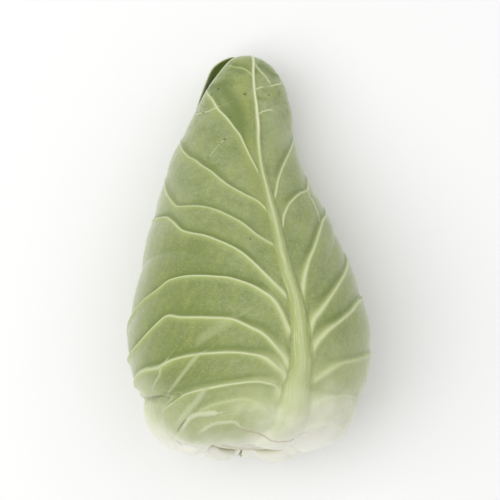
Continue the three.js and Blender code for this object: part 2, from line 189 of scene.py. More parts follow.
# The stage, in metres, and the camera's sensor in millimetres.
AIM = (0.0002, 0.0008, 0.060)
HEAD_MIDDLE = (0, 0, 0.05)
SENSOR = 36.0
CLIP_START = 0.01
FLOOR_HALF = 3.0
FLOOR_LEVEL = -0.0001
KEY_PLACE = (-0.45, -0.12, 1.0)
KEY_SIZE = 0.9
FILL_PLACE = (0.45, 0.45, 0.9)
FILL_SIZE = 1.2


def srgb(red, green, blue):
    """A colour given in 0 to 255 as the eye sees it, as Blender's linear values."""
    shown = np.array([red, green, blue]) / 255.0
    low = shown / 12.92
    high = ((shown + 0.055) / 1.055) ** 2.4
    return tuple(float(c) for c in np.where(shown <= 0.04045, low, high))


def ease(x, low, high):
    """A smooth step from 0 at low to 1 at high; low may be the greater one."""
    t = np.clip((x - low) / (high - low), 0.0, 1.0)
    return t * t * (3.0 - 2.0 * t)


def through(stations, at):
    """A smooth curve through stations (x, y): cubic pieces with shared slopes."""
    table = np.asarray(stations, float)
    xs = table[:, 0]
    ys = table[:, 1]
    h = np.diff(xs)
    d = np.diff(ys) / h
    slope = np.concatenate([d[:1], (d[:-1] * h[1:] + d[1:] * h[:-1]) / (h[:-1] + h[1:]), d[-1:]])
    x = np.clip(at, xs[0], xs[-1])
    i = np.clip(np.searchsorted(xs, x, side="right") - 1, 0, len(h) - 1)
    t = (x - xs[i]) / h[i]
    rise = (2 * t**3 - 3 * t**2 + 1) * ys[i] + (3 * t**2 - 2 * t**3) * ys[i + 1]
    return rise + h[i] * ((t**3 - 2 * t**2 + t) * slope[i] + (t**3 - t**2) * slope[i + 1])


class Skin:
    """The head's surface: an egg of revolution on a swaying middle line that
    curls down at the tip, tilted, laid down and pressed flat where it rests."""

    def __init__(self, length, floor):
        self.length = length
        self.floor = floor
        self.p = np.linspace(0, 1, OUTLINE_POINTS)
        a, r = self.section(self.p)
        steps = np.hypot(np.diff(a), np.diff(r))
        self.walked = np.concatenate([[0], np.cumsum(steps)])
        self.tip = self.walked[-1]
        rows = np.linspace(0, 1, UNDERSIDE_ROWS)[:, None]
        under = np.arange(*UNDERSIDE_AZ)[None, :]
        self.lift = floor - PRESSED - self.tilted(rows, under)[2].min()

    def section(self, p):
        """Half a circle's outline with its width changed along the axis."""
        share = (1 - np.cos(np.pi * p)) / 2
        return share * self.length, np.sin(np.pi * p) * through(FULLNESS, share)

    def tilted(self, p, az):
        """The outline turned round the middle line, before it is laid down."""
        a, r = self.section(p)
        turn = np.maximum(a - BEND_START, 0) / BEND_RADIUS
        up = np.where(a <= BEND_START, a, BEND_START + BEND_RADIUS * np.sin(turn))
        side = through(SWAY, up) + r * np.sin(np.radians(az))
        front = r * np.cos(np.radians(az)) * DEPTH
        f = front * np.cos(turn) - BEND_RADIUS * (1 - np.cos(turn))
        t = up + front * np.sin(turn)
        c = np.cos(np.radians(TILT))
        k = np.sin(np.radians(TILT))
        return np.broadcast_arrays(side, t * c + f * k - MIDDLE, f * c - t * k)

    def point(self, s, az):
        """A place on the skin; below the floor's level it is pressed flat."""
        x, y, z = self.tilted(np.interp(s, self.walked, self.p), az)
        above = z + self.lift - self.floor
        step = (above + SOFT) ** 2 / (4 * SOFT)
        lifted = np.where(above <= -SOFT, 0, np.where(above < SOFT, step, above))
        return np.stack([x, y, self.floor + lifted], axis=-1)

    def outside(self, s, az, distance):
        """A place that far outside the skin, along the skin's normal."""
        ds, turn = NORMAL_STEPS
        along = self.point(s + ds, az) - self.point(s - ds, az)
        round_ = self.point(s, az + turn) - self.point(s, az - turn)
        out = np.cross(round_, along)
        out /= np.linalg.norm(out, axis=-1, keepdims=True) + 1e-12
        return self.point(s, az) + np.asarray(distance)[..., None] * out

    def girth(self, s):
        """Radius of the head at s."""
        return self.section(np.interp(s, self.walked, self.p))[1]

    def arc(self, s):
        """Millimetres round the head for one degree at s."""
        return self.girth(s) * np.pi / 180


class Grain:
    """Smooth noise from -1 to 1: random values on a lattice, eased between."""

    def __init__(self, seed):
        self.values = np.random.default_rng(seed).uniform(-1, 1, (LATTICE, LATTICE))

    def __call__(self, x, y):
        i = np.floor(x).astype(int)
        j = np.floor(y).astype(int)
        fx = ease(x - i, 0, 1)
        fy = ease(y - j, 0, 1)
        v = self.values
        near, next_ = i % LATTICE, (i + 1) % LATTICE
        low, high = (v[near, k % LATTICE] * (1 - fx) + v[next_, k % LATTICE] * fx for k in (j, j + 1))
        return low * (1 - fy) + high * fy


# The leaves.
# Layer 0 lies on the heart. mid, left and right are azimuths along s. Each row
# of ribs is a curve of (az, s) out from the midrib to the left and one to the
# right; the first row is the leaf's base and the last its tip. strong gives how
# far each row is a side rib, on the left and on the right. A speck is a place
# (az, s) and a size. lift raises the leaf, and bare is 1 where it can be seen.
def fan(mid, reach, base, tip, starts, rise):
    """Rows of ribs by rule: each leaves the midrib and climbs toward the tip."""
    climb = [(0, 0), (0.06, 0.14), (0.25, 0.45), (0.5, 0.7), (0.75, 0.88), (1, 1)]
    plain = [([(mid, s), (mid - reach, s)], [(mid, s), (mid + reach, s)]) for s in (base, tip)]
    rows = [plain[0]]
    for s in starts:
        left = [(mid - reach * out, s + rise * up) for out, up in climb]
        right = [(mid + reach * out, s + rise * up) for out, up in climb]
        rows.append((left, right))
    rows.append(plain[1])
    return rows


def mark(wide, high, path, **more):
    """A branch, cut or fold along a path of (az, s): half its width and its
    height in millimetres. bank is a step beside it, pale how far a branch is
    painted pale, and brown marks a cut that has dried."""
    return {"wide": wide, "high": high, "path": path, **more}


def even(value):
    """A field for lift or bare with one value all over the leaf."""
    return lambda s, az: value + 0.0 * (s + az)


def flared(s, az):
    """The back leaf stands off the tip, most of all at its left wing."""
    wing = ease(az, 218, 260)
    back = ease(s, 244, 260) * ease(az, 130, 160) * (1 - wing)
    low = ease(az, 182, 190) * ease(s, 30, 36) * ease(s, 62, 52)
    return wing * through(FLARE, s) + 3.2 * back - 1.2 * low


def sunk(s, az):
    """The front leaf comes down to the side leaf round its torn place."""
    return -1.2 * ease(az, -30, -55) * ease(s, 78, 64) * ease(s, 36, 48)


def tucked(s, az):
    """The side leaf's far margin lies down on the lowest leaf near the stump."""
    return -1.1 * ease(az, -104, -112) * ease(s, 30, 36) * ease(s, 62, 52)


def bare_back(s, az):
    """The back leaf is covered by the front leaf's right wing."""
    edge = 107 + 14 * ease(s, 28, 34)
    return ease(az, edge, edge + 8)


def bare_side(s, az):
    """The side leaf shows between the front leaf and the back leaf."""
    beside = [margin_of(LEAVES["leaf_1"], -1, s + ds) for ds in (-4, -2, 0, 2.5)]
    front = np.minimum.reduce(beside) - 1.5 * ease(s, 26, 32)
    back = margin_of(LEAVES["leaf_2"], 1, s) - 358
    return ease(az, front, front - 4) * ease(az, back, back + 6)


def bare_under(s, az):
    """The lowest leaf shows between the back leaf and the side leaf, near the stump."""
    back = margin_of(LEAVES["leaf_2"], 1, s + 1.5) - 361
    side = margin_of(LEAVES["leaf_3"], -1, s + 2) + 1.5
    return ease(az, back, back + 3) * ease(az, side, side - 3) * ease(s, 48, 36)


LEAVES = {
    "leaf_1": {
        "layer": 3,
        "mid": [(21, 24), (43, 25), (68, 26), (88, 24), (105, 22), (117, 20), (150, 19), (173, 19),
                (185, 20), (200, 22), (212, 22), (223, 18), (235, 13), (245, 12), (264, 22)],
        "left": [(21, -48), (28, -60), (36, -68), (43, -68), (50, -60), (55, -52), (58, -46),
                 (60, -52), (63, -74), (67, -88), (75, -93), (100, -98), (200, -98), (225, -92),
                 (236, -80), (242, -62), (250, -47), (258, -38), (264, -34)],
        "right": [(21, 100), (28, 104), (35, 106), (45, 111), (70, 116), (200, 116), (228, 108),
                  (244, 84), (264, 80)],
        "notches": [{"side": 1, "at": 249, "wide": 4, "deep": 0.3}],
        "ribs": [
            ([(25, 21.5), (-110, 22)], [(20, 21.5), (125, 22)]),
            ([(18, 42), (14, 47), (2, 54), (-12, 54), (-28, 51), (-44, 45), (-70, 38), (-95, 34)],
             [(30, 41), (45, 46), (70, 48), (110, 46)]),
            ([(18, 54), (14, 61.5), (8, 64.5), (-8, 63.8), (-26, 60), (-46, 55), (-75, 49.5), (-95, 47)],
             [(28, 50), (45, 57), (70, 63), (110, 67)]),
            ([(19, 66.5), (16, 70.5), (13, 72.5), (8, 75.3), (0, 77.3), (-9, 78.3), (-17, 78.2), (-26, 78),
              (-36, 77), (-45, 75), (-60, 75), (-98, 71)],
             [(29, 62), (40, 72), (60, 80), (85, 88), (116, 94)]),
            ([(19, 73), (13, 80), (6, 87), (1, 89.5), (-7, 93), (-18, 94.5), (-32, 96), (-40, 97.5),
              (-46, 94.5), (-59, 89), (-98, 84)],
             [(28, 75), (32, 84), (36, 89), (44, 95), (53, 101), (63, 108), (76, 113), (116, 126)]),
            ([(18, 89), (13, 100), (5, 107.5), (-5, 112.5), (-9, 114), (-15, 115), (-21, 116), (-30, 117),
              (-36, 117), (-42, 116), (-47, 113), (-56, 110), (-98, 95)],
             [(27, 85), (30, 94), (34, 99), (46, 112), (60, 124), (80, 138), (98, 147), (116, 153)]),
            ([(18, 96), (8, 111), (-8, 121), (-30, 132), (-60, 135), (-98, 130)],
             [(25, 92), (35, 112), (50, 130), (65, 143), (85, 155), (116, 165)]),
            ([(18, 105), (10, 114), (-3, 129), (-13, 135.5), (-22, 140), (-30, 142.5), (-37, 145.5),
              (-43, 150.5), (-50, 155), (-65, 158), (-98, 165)],
             [(24, 100), (28, 115), (32, 124), (39, 134), (46, 143), (55, 152), (69, 160), (82, 167),
              (116, 178)]),
            ([(17, 133), (6, 140), (1, 145), (-8, 151), (-18, 156), (-27, 158.5), (-38, 160), (-45, 161.5),
              (-50, 165), (-58, 171), (-66, 177), (-98, 196)],
             [(23, 126), (33, 145), (45, 160), (60, 171), (80, 178), (116, 188)]),
            ([(19, 150), (13, 158), (3, 164), (-7, 170), (-12, 174), (-19, 180), (-27, 185), (-33, 189),
              (-42, 193), (-50, 197), (-58, 201), (-98, 216)],
             [(20, 141), (23, 146), (24.5, 150), (29, 157), (37, 164), (44, 168), (55, 172), (67, 179),
              (81, 187), (116, 201)]),
            ([(17, 177), (13, 188), (6, 202), (-2, 209), (-13, 216), (-26, 222), (-41, 230), (-66, 239),
              (-90, 245)],
             [(19, 158), (23, 164), (29, 174), (35, 181), (45, 190), (53, 196), (70, 207), (85, 216),
              (116, 231)]),
            ([(17, 212), (0, 228), (-13, 236), (-30, 242), (-60, 247), (-90, 251)],
             [(20, 219), (32, 225), (50, 230), (75, 236), (108, 241)]),
            ([(12, 242), (8, 245), (3, 247), (-5, 249), (-16, 250), (-27, 251), (-60, 254)],
             [(14, 238), (25, 240), (50, 244), (84, 249)]),
            ([(20, 265), (-110, 265)], [(20, 265), (125, 265)]),
        ],
        "strong": [
            (0, 0), (0.4, 0.5), (1, 0.7), (1, 0.8), (1, 1), (1, 1), (0, 0), (1, 1),
            (0.8, 0), (0.9, 0.9), (1, 0.9), (0, 0), (0.5, 0), (0, 0),
        ],
        "branches": [
            mark(0.5, 0.25, [(-29, 224), (-39, 222), (-53, 222), (-71, 223)]),
            mark(0.5, 0.3, [(16, 236), (19, 237), (26, 238)]),
            mark(0.5, 0.25, [(20, 219), (24, 222), (33, 224), (40, 224)]),
            mark(0.5, 0.4, [(18, 252), (23, 247), (32, 243), (39, 239)], bank=0.3),
            mark(0.5, 0.3, [(37, 239), (48, 241), (65, 244)]),
            mark(0.25, 0.1, [(-9, 201), (-16, 195), (-23, 189)]),
            mark(0.8, 0.5, [(-41, 78), (-43, 76), (-48, 72), (-57, 67.5), (-63, 64)], bank=0.9, pale=0.5),
            mark(1.0, 0.5, [(-21, 79), (-29, 74), (-34, 70.5), (-41, 65.5), (-48, 60.5), (-53, 56),
                            (-57, 51), (-63, 47)], bank=1.2, pale=0.5),
            mark(2.2, 0.2, [(-7, 94), (-14, 90), (-21, 86), (-27, 82)], bank=0.5, pale=0.22),
            mark(1.4, 0.4, [(-22, 60), (-25, 57), (-30, 54), (-36, 51), (-44, 48), (-55, 45)],
                 bank=0.9, pale=0.43),
            mark(0.9, 0.4, [(-19, 50), (-24, 50), (-30, 50), (-34, 49.5), (-43, 46), (-54, 43)], bank=0.6),
            mark(0.7, 0.45, [(-6, 45), (-9, 46.5), (-18, 46.5), (-22, 46), (-27, 44.5), (-32, 43),
                             (-40, 41)], bank=0.7),
            mark(2.2, 0.3, [(16, 48), (9, 51), (4, 52), (-2, 52), (-7, 51), (-13, 49.5)],
                 bank=0.5, pale=0.27),
            mark(0.6, 0.35, [(55, 172), (57, 168), (55.5, 161), (55, 156), (54, 151)]),
        ],
        "cuts": [
            mark(0.4, -0.5, [(-6, 43), (-3, 42), (3, 40), (7, 39), (9, 37.5), (14, 37), (18, 36), (26, 37),
                             (34, 38), (41, 42), (50, 43)], brown=True),
            mark(0.3, -0.5, [(-37, 49), (-46, 46), (-57, 42.5)], brown=False),
        ],
        # Folds dent the blade; the finish paints shade in their valleys and a highlight on their ridges.
        "folds": [
            mark(3.4, -1.2, [(-44, 243), (-34, 239), (-20, 232), (-5, 222), (5, 211), (11, 199)]),
            mark(2.6, -0.7, [(-30, 250), (-18, 249), (-7, 247), (4, 244)]),
            mark(2.6, -0.7, [(24, 253), (34, 250), (44, 247), (60, 249)]),
            mark(6, 0.7, [(30, 232), (38, 222), (48, 206), (54, 192)]),
            mark(1.2, 0.3, [(98, 254), (84, 252), (70, 250), (56, 247)], bank=1.0),
        ],
        "specks": [(-37, 237, 1.1), (-47, 222, 1.0), (1, 232, 1.0), (-46, 234, 0.7), (-60, 237, 0.6),
                   (-18, 238, 0.6), (-9, 217, 0.6), (31, 233, 0.6), (64, 226, 0.5), (3, 137, 0.7),
                   (-9, 201, 0.9), (-22, 190, 0.6), (-12, 198, 0.5), (58, 190, 0.6), (56, 188, 0.5)],
        "lift": sunk,
        "bare": even(1.0),
    },
    "leaf_2": {
        "layer": 2,
        "mid": [(21, 150), (262, 150)],
        "left": [(21, 102), (28, 106), (35, 108.5), (46, 88), (70, 76), (220, 72), (264, 58)],
        "right": [(21, 190.3), (35, 190.3), (46, 204), (70, 214), (150, 218), (200, 224), (220, 247),
                  (232, 262), (264, 262)],
        "ribs": fan(150, 80, 21.5, 264.5, [36, 48, 64, 82, 102, 124, 148, 176, 206], 36),
        "strong": [(0, 0)] + [(1, 1)] * 9 + [(0, 0)],
        "lift": flared,
        "bare": bare_back,
    },
    "leaf_3": {
        "layer": 1,
        "mid": [(21, -92), (45, -86), (80, -76), (262, -64)],
        "left": [(21, -110), (35, -110), (46, -134), (70, -146), (220, -144), (258, -110)],
        "right": [(21, -51), (28, -62.5), (36, -71), (46, -40), (60, -10), (220, -12), (258, -30)],
        "ribs": fan(-76, 70, 21.5, 258, [38, 52, 70, 92, 116, 142, 172, 204], 34),
        "strong": [(0, 0)] + [(1, 1)] * 8 + [(0, 0)],
        "lift": tucked,
        "bare": bare_side,
    },
    "leaf_4": {
        "layer": 0,
        "mid": [(21, 74), (262, 74)],
        "left": [(21, 36), (60, 30), (220, 30), (258, 44)],
        "right": [(21, 112), (60, 120), (220, 120), (258, 104)],
        "ribs": fan(74, 50, 38, 258, [], 0),
        "strong": [(0, 0)] * 2,
        "lift": even(0.0),
        "bare": even(0.0),
    },
    "leaf_5": {
        "layer": 0,
        "mid": [(21, -150), (262, -150)],
        "left": [(21, -168), (35, -168), (50, -196), (60, -200), (220, -200), (258, -186)],
        "right": [(21, -111.6), (35, -111.3), (50, -106), (60, -104), (220, -104), (258, -118)],
        "ribs": fan(-150, 50, 21.5, 258, [], 0),
        "strong": [(0, 0)] * 2,
        "lift": even(0.0),
        "bare": bare_under,
    },
}


def settled(s):
    """How much of its layer's height a leaf has: near the stump it comes down."""
    return ease(s, *SETTLES)


def margin_of(leaf, side, s, t=1.0):
    """Azimuth of a margin at s, torn in by bell curves where there are notches."""
    mid = through(leaf["mid"], s)
    edge = np.where(np.asarray(side) < 0, through(leaf["left"], s), through(leaf["right"], s))
    reach = np.abs(edge - mid)
    for notch in leaf.get("notches", ()):
        deep = notch["deep"] * np.exp(-(((s - notch["at"]) / notch["wide"]) ** 2)) * t**3
        reach = reach * np.where(np.asarray(side) == notch["side"], 1 - deep, 1.0)
    return mid + side * reach


def azimuth_at(leaf, skin, s, side, t, x):
    """Azimuth of a column at s: x goes from -1 to 1 across the midrib, and t
    from the midrib's foot, 0, to the margin, 1. On a narrow base the midrib is
    a share of the width."""
    mid = through(leaf["mid"], s)
    reach = np.abs(margin_of(leaf, side, s, t) - mid)
    broad = through(MIDRIB_HALF, s) / np.maximum(skin.girth(s), 6) * (180 / np.pi)
    foot = np.minimum(broad, MIDRIB_SHARE * reach)
    return mid + np.where(t == 0, x * foot, side * (foot + t * (reach - foot)))


def path_field(path, skin, s, az):
    """For each place, its signed distance to a path of (az, s) in millimetres on
    the skin, and how far along the path the nearest point is, from 0 to 1."""
    round_ = np.maximum(skin.girth(s), 6) * np.pi / 180
    nearest = np.full(np.shape(s), 1e9)
    signed = np.full(np.shape(s), 1e9)
    along = np.zeros(np.shape(s))
    legs = len(path) - 1
    for leg in range(legs):
        (az0, s0), (az1, s1) = path[leg], path[leg + 1]
        dx = (az1 - az0) * round_
        dy = s1 - s0
        px = (az - az0) * round_
        py = s - s0
        length = dx**2 + dy**2 + 1e-9
        share = np.clip((px * dx + py * dy) / length, 0, 1)
        away = np.hypot(px - share * dx, py - share * dy)
        closer = away < nearest
        nearest = np.where(closer, away, nearest)
        signed = np.where(closer, np.where(dx * py - dy * px < 0, -away, away), signed)
        along = np.where(closer, (leg + share) / legs, along)
    return signed, along


class LeafSurface:
    """A leaf as two grids of points, outer and inner face, and what its finish
    reads: where ribs, creases, branches, the base, the rim and the inner face are.

    Columns run from the left margin over the midrib to the right margin: side is
    -1 or 1, t goes from the midrib's foot, 0, to the margin, 1, and x from -1 to
    1 across the midrib. Rows run from the base to the tip, crowded at side ribs."""

    def __init__(self, leaf, skin, sizes, blade_columns, rib_columns, row_step):
        self.leaf = leaf
        self.skin = skin
        self.set_columns(blade_columns, rib_columns)
        table = self.rib_table()
        v = self.rows(table, row_step)
        k = np.clip(np.floor(v).astype(int), 0, len(table) - 2)
        self.share = (v - k)[:, None]
        self.gap = table[k + 1] - table[k]
        self.s = table[k] + self.share * self.gap
        self.az = azimuth_at(leaf, skin, self.s, self.side, self.t, self.x)
        self.across = (self.az - through(leaf["mid"], self.s)) * skin.arc(self.s)
        self.measure(table, k)
        self.raise_ribs(sizes)
        self.swell_panels(sizes)
        self.follow_paths()
        self.mark_finish()
        self.place(sizes)

    def set_columns(self, blade, rib):
        """Columns: out from the midrib's foot, closer near it, and across it."""
        out = np.linspace(0, 1, blade + 1)[1:] ** COLUMN_CROWDING
        over = np.linspace(-1, 1, rib)
        self.side = np.concatenate([-np.ones(blade), np.where(over < 0, -1.0, 1.0), np.ones(blade)])
        self.t = np.concatenate([out[::-1], np.zeros(rib), out])
        self.x = np.concatenate([-np.ones(blade), over, np.ones(blade)])

    def rib_table(self):
        """s where each rib row crosses each column, found by halving: s grows
        along a column, and the rib is a curve over azimuth. Across the midrib
        the row runs straight from its left foot to its right foot."""
        rows = []
        for left, right in self.leaf["ribs"]:
            low = np.full(len(self.t), SEARCH[0])
            high = np.full(len(self.t), SEARCH[1])
            for _ in range(HALVINGS):
                s = (low + high) / 2
                az = azimuth_at(self.leaf, self.skin, s, self.side, self.t, np.sign(self.x))
                rib = np.where(self.side < 0, through(left[::-1], az), through(right, az))
                low = np.where(s < rib, s, low)
                high = np.where(s < rib, high, s)
            feet = s[self.t == 0]
            middle = feet[0] + (self.x + 1) / 2 * (feet[-1] - feet[0])
            rows.append(np.where(self.t == 0, middle, s))
        apart = LEAST_GAP * np.arange(len(rows))[:, None]
        return np.maximum.accumulate(np.array(rows) + apart, axis=0)

    def rows(self, table, row_step):
        """Row numbers: each gap between ribs in steps that crowd at the ribs."""
        v = []
        for k in range(len(table) - 1):
            gap = np.max(table[k + 1] - table[k])
            n = int(np.clip(gap / row_step, *ROW_COUNTS))
            q = np.arange(n) / n
            v.append(k + q - ROW_CROWDING * np.sin(2 * np.pi * q) / (2 * np.pi))
        return np.append(np.concatenate(v), len(table) - 1.0)

    def measure(self, table, k):
        """Distances square to the rib rows below, toward the stump, and above,
        toward the tip, and how far each of these rows is a side rib."""
        spread = np.gradient(self.across, axis=1)
        slope = np.gradient(self.s, axis=1) / np.where(np.abs(spread) < 1e-3, 1e-3, spread)
        square = 1 / np.sqrt(1 + np.minimum(slope**2, 9))
        self.below = (self.s - table[k]) * square
        self.above = (table[k + 1] - self.s) * square
        strong = np.array(self.leaf["strong"], float)
        force = np.where(self.side < 0, strong[:, :1], strong[:, 1:])
        self.low_force = force[k]
        self.high_force = force[k + 1]
        low = self.below * np.where(self.low_force > 0, 1, 1e3)
        high = self.above * np.where(self.high_force > 0, 1, 1e3)
        self.nearest = np.where(low < high, self.below, self.above)
        self.nearest_force = np.where(low < high, self.low_force, self.high_force)

    def raise_ribs(self, sizes):
        """A raised midrib, round on top, and side ribs as rounded cords, wider
        where they leave the midrib, on banks that climb gently from the stump's
        side and drop steeply on the tip's side."""
        s = self.s
        t = self.t
        x = np.abs(self.x)
        on_blade = np.where(t == 0, ease(x, 0.5, 1), 1.0)
        self.fade = ease(t, 1, 0.95) * ease(s, *RIBS_END) * on_blade
        broad = 1 + 0.9 * ease(t, 0.2, 0) * ease(s, *RIBS_BROADEN)
        self.half = through(CORD_HALF, s) * (1 - 0.5 * t) * broad
        self.cord = np.exp(-((self.nearest / self.half) ** 2)) * self.nearest_force * self.fade
        taper = 1 - (0.6 - 0.35 * ease(s, *TAPER_LESSENS)) * t
        self.steep = sizes.rib_steep / MM * (1 - 0.3 * t)
        gentle = sizes.rib_gentle / MM * (1 - 0.3 * t)
        self.climb = self.high_force * ease(self.above, gentle, 0) ** 1.3
        drop = self.low_force * ease(self.below, self.steep, 0)
        bank = np.maximum(self.climb, drop) * self.fade * (0.4 + 0.6 * taper) * ease(t, 0, 0.08)
        bank_height = np.where(self.side < 0, through(BANK_LEFT, s), through(BANK_RIGHT, s))
        crown = np.maximum(1 - np.clip(x, 0, 1) ** 2, 0) ** (0.5 + 0.5 * ease(s, *CROWN_SHARPENS))
        midrib = through(MIDRIB_HEIGHT, s) * np.where(t == 0, crown * ease(x, 1, 0.65), 0)
        ribs = through(CORD_HEIGHT, s) * taper * self.cord * sizes.rib_scale + bank_height * bank
        self.rib = (midrib**3 + np.maximum(ribs, 0) ** 3) ** (1 / 3)

    def swell_panels(self, sizes):
        """The blade swells between two ribs by half a sine wave, climbs toward
        the rib above it like a stair, and is softly uneven."""
        s = self.s
        t = self.t
        self.outward = ease(t, 0, 0.2) * (1 - 0.6 * ease(t, 0.8, 1))
        ends = ease(s, *PANELS_START) * ease(s, *PANELS_STOP)
        swell = np.sin(np.pi * self.share) * np.minimum(1, self.gap / 16)
        rise = self.high_force * ease(self.share, 0, 1) ** 1.2
        fall = self.low_force * ease(self.below, 1.2 * self.steep, 0)
        stairs = np.maximum(rise, fall) * through(STAIR_SHARE, s)
        grain = Grain(3)(self.across / 13, s / 13) + 0.5 * Grain(4)(self.across / 6, s / 6)
        self.puff = self.outward * ends / MM * (
            sizes.puff * swell + sizes.stair * stairs + sizes.blister * (grain + 1.2)
        )

    def follow_paths(self):
        """Branches, cuts and folds: a bell across the path, with a step beside it
        that falls slowly on one side and at once on the other."""
        self.dents = 0.0 * self.s
        self.fold = 0.0 * self.s
        self.paths = {}
        for kind in ("branches", "cuts", "folds"):
            for number, item in enumerate(self.leaf.get(kind, ())):
                away, along = path_field(item["path"], self.skin, self.s, self.az)
                ends = ease(along, 1, 0.75)
                if kind != "branches":
                    ends = ends * ease(along, 0, 0.12)
                bell = np.exp(-((away / item["wide"]) ** 2)) * ends
                step = np.where(away > 0, ease(away, BANK_BEFORE, 0), ease(away, -BANK_AFTER, 0)) * ends
                self.dents = self.dents + item["high"] * bell + item.get("bank", 0) * step
                if kind == "folds":
                    # A fold's mark for the finish: 1 in a valley, for painted shade, and -1 on a ridge, for
                    # a painted highlight.
                    self.fold = self.fold + np.sign(-item["high"]) * bell
                else:
                    self.paths[f"{kind}_{number}"] = (away, ends * ease(self.t, 1, 0.96))

    def mark_finish(self):
        """What the finish reads: crests, bodies and banks of the ribs, creases above
        them for painted shade, the panels at the lower left, darker partly as painted
        shade, the rim for a painted highlight, and a band by the midrib."""
        s = self.s
        t = self.t
        x = np.abs(self.x)
        over = t == 0
        low_left = ease(s, *LOW_PANELS_TOP) * ease(s, *LOW_PANELS_FOOT) * ease(self.az, *LOW_PANELS_LEFT)
        front = self.leaf["layer"] == 3
        # Darkest just above each rib, where its step shades the panel: painted shade over the blade's own
        # deeper green.
        self.panel = self.outward * low_left * (1 - 0.35 * ease(self.share, 0, 1)) * front
        foot = np.where(over, ease(x, 0.8, 1), 1.0)
        thin = np.exp(-((self.nearest / (0.5 * self.half)) ** 2)) * self.nearest_force
        # The pale crest: partly the vein's own colour, partly a painted highlight on its top.
        crest = np.exp(-(((self.x + 0.1) / through(MIDRIB_CREST, s)) ** 2))
        self.line = np.where(over, crest, thin * self.fade * foot * (1 - 0.3 * t))
        self.stalk = np.where(over, ease(x, 1, 0.7), 0) + 0.0 * s
        self.body = np.where(over, np.maximum(self.stalk, self.cord), self.cord)
        climb = np.where(self.side < 0, self.climb, 0.4 * self.climb)
        # The bank is painted paler: partly the rib's own colour spreading, partly a painted highlight on the
        # side that faces the light.
        self.bank = np.where(over, 0, climb * self.fade) * ease(t, 0, 0.08)
        # The crease above each rib's crest, where its step shades the blade, takes painted shade.
        groove = np.exp(-(((self.below - 1.3 * self.half - 0.5) / 1.5) ** 2))
        self.crease_shade = self.low_force * self.fade * groove * np.where(over, 0, ease(t, 0.02, 0.12))
        reach = np.abs(margin_of(self.leaf, self.side, s, t) - through(self.leaf["mid"], s))
        # The rim, within a millimetre or so of the margin, is for a painted highlight along the edge.
        self.rim = ease((1 - t) * reach * self.skin.arc(s), 1.2, 0.5)
        self.beside = np.exp(-(((self.across - BAND[0]) / BAND[1]) ** 2)) * (self.across < 0)

    def place(self, sizes):
        """Both faces: the inner one at the leaf's layer, the outer one a blade
        and its ribs further out, thicker at the fleshy base; dents push the
        inner face down only where the blade has swelled away from the leaf
        below; nothing goes below the floor."""
        s = self.s
        layer = self.leaf["layer"]
        self.bare = self.leaf["bare"](s, self.az)
        pitch = sizes.pitch / MM
        blade = sizes.blade / MM
        puff = self.puff * self.bare
        raised = puff + self.leaf["lift"](s, self.az)
        inner = pitch * layer * settled(s) + (pitch - blade) + raised
        dented = np.maximum(self.dents * self.bare, -np.maximum(puff, 0) - 0.5)
        filled = pitch * layer * (1 - settled(s))
        extra = sizes.flesh / MM * ease(s, *FLESHY) * self.bare * (3 - layer) / 3
        flesh = (filled + extra) * ease(s, *OFF_STUMP)
        outer = inner + np.maximum(blade + dented, THINNEST * blade) + self.rib * self.bare + flesh
        inner = inner + np.clip(dented, -np.maximum(puff, 0), 0)
        self.outer = self.skin.outside(s, self.az, outer)
        self.inner = self.skin.outside(s, self.az, inner)
        least = 0.0 if layer == 2 else OVER_FLOOR
        self.outer[..., 2] = np.maximum(self.outer[..., 2], least)
        self.inner[..., 2] = np.maximum(self.inner[..., 2], least + 0.8 * blade)


# Meshes.
def grid_faces(rows, columns):
    """Four corners of each cell of a grid, turned so that the face looks out."""
    i = np.arange(rows - 1)[:, None] * columns
    j = np.arange(columns - 1)[None, :]
    a = (i + j).ravel()
    return np.stack([a, a + 1, a + 1 + columns, a + columns], axis=1)


def rim_loop(rows, columns):
    """Vertex numbers once round the border of a grid."""
    first = np.arange(columns)
    right = np.arange(1, rows) * columns + columns - 1
    top = (rows - 1) * columns + np.arange(columns - 2, -1, -1)
    left = np.arange(rows - 2, 0, -1) * columns
    return np.concatenate([first, right, top, left])


def keep_in_box(points):
    """Points held inside the frame's box, so that the size stays the frame's."""
    low = np.array(CAD_BOX[0]) / MM
    high = np.array(CAD_BOX[1]) / MM
    return np.clip(points, low, high)


def add_layers(mesh, attributes, uv):
    """Gives a mesh its attributes, one number or three for each point, and its
    map, and shades it smooth."""
    for key, values in attributes.items():
        kind, field = ("FLOAT_VECTOR", "vector") if values.ndim == 2 else ("FLOAT", "value")
        layer = mesh.attributes.new(key, kind, "POINT")
        layer.data.foreach_set(field, np.ascontiguousarray(values, dtype=np.float32).ravel())
    loops = np.empty(len(mesh.loops), dtype=np.int32)
    mesh.loops.foreach_get("vertex_index", loops)
    layer = mesh.uv_layers.new(name="leaf_map")
    layer.data.foreach_set("uv", uv[loops].astype(np.float32).ravel())
    mesh.polygons.foreach_set("use_smooth", np.ones(len(mesh.polygons), dtype=bool))
    mesh.update()


def new_piece(name, points, faces, attributes, uv, material):
    """A mesh object at the origin from points in millimetres and faces."""
    mesh = bpy.data.meshes.new(name)
    mesh.from_pydata((keep_in_box(points) * MM).tolist(), [], faces)
    add_layers(mesh, attributes, uv)
    mesh.materials.append(material)
    piece = bpy.data.objects.new(name, mesh)
    bpy.context.scene.collection.objects.link(piece)
    return piece


def twice(values):
    """The same values for the outer points of a leaf and for its inner ones."""
    return np.tile(values.ravel(), 2)


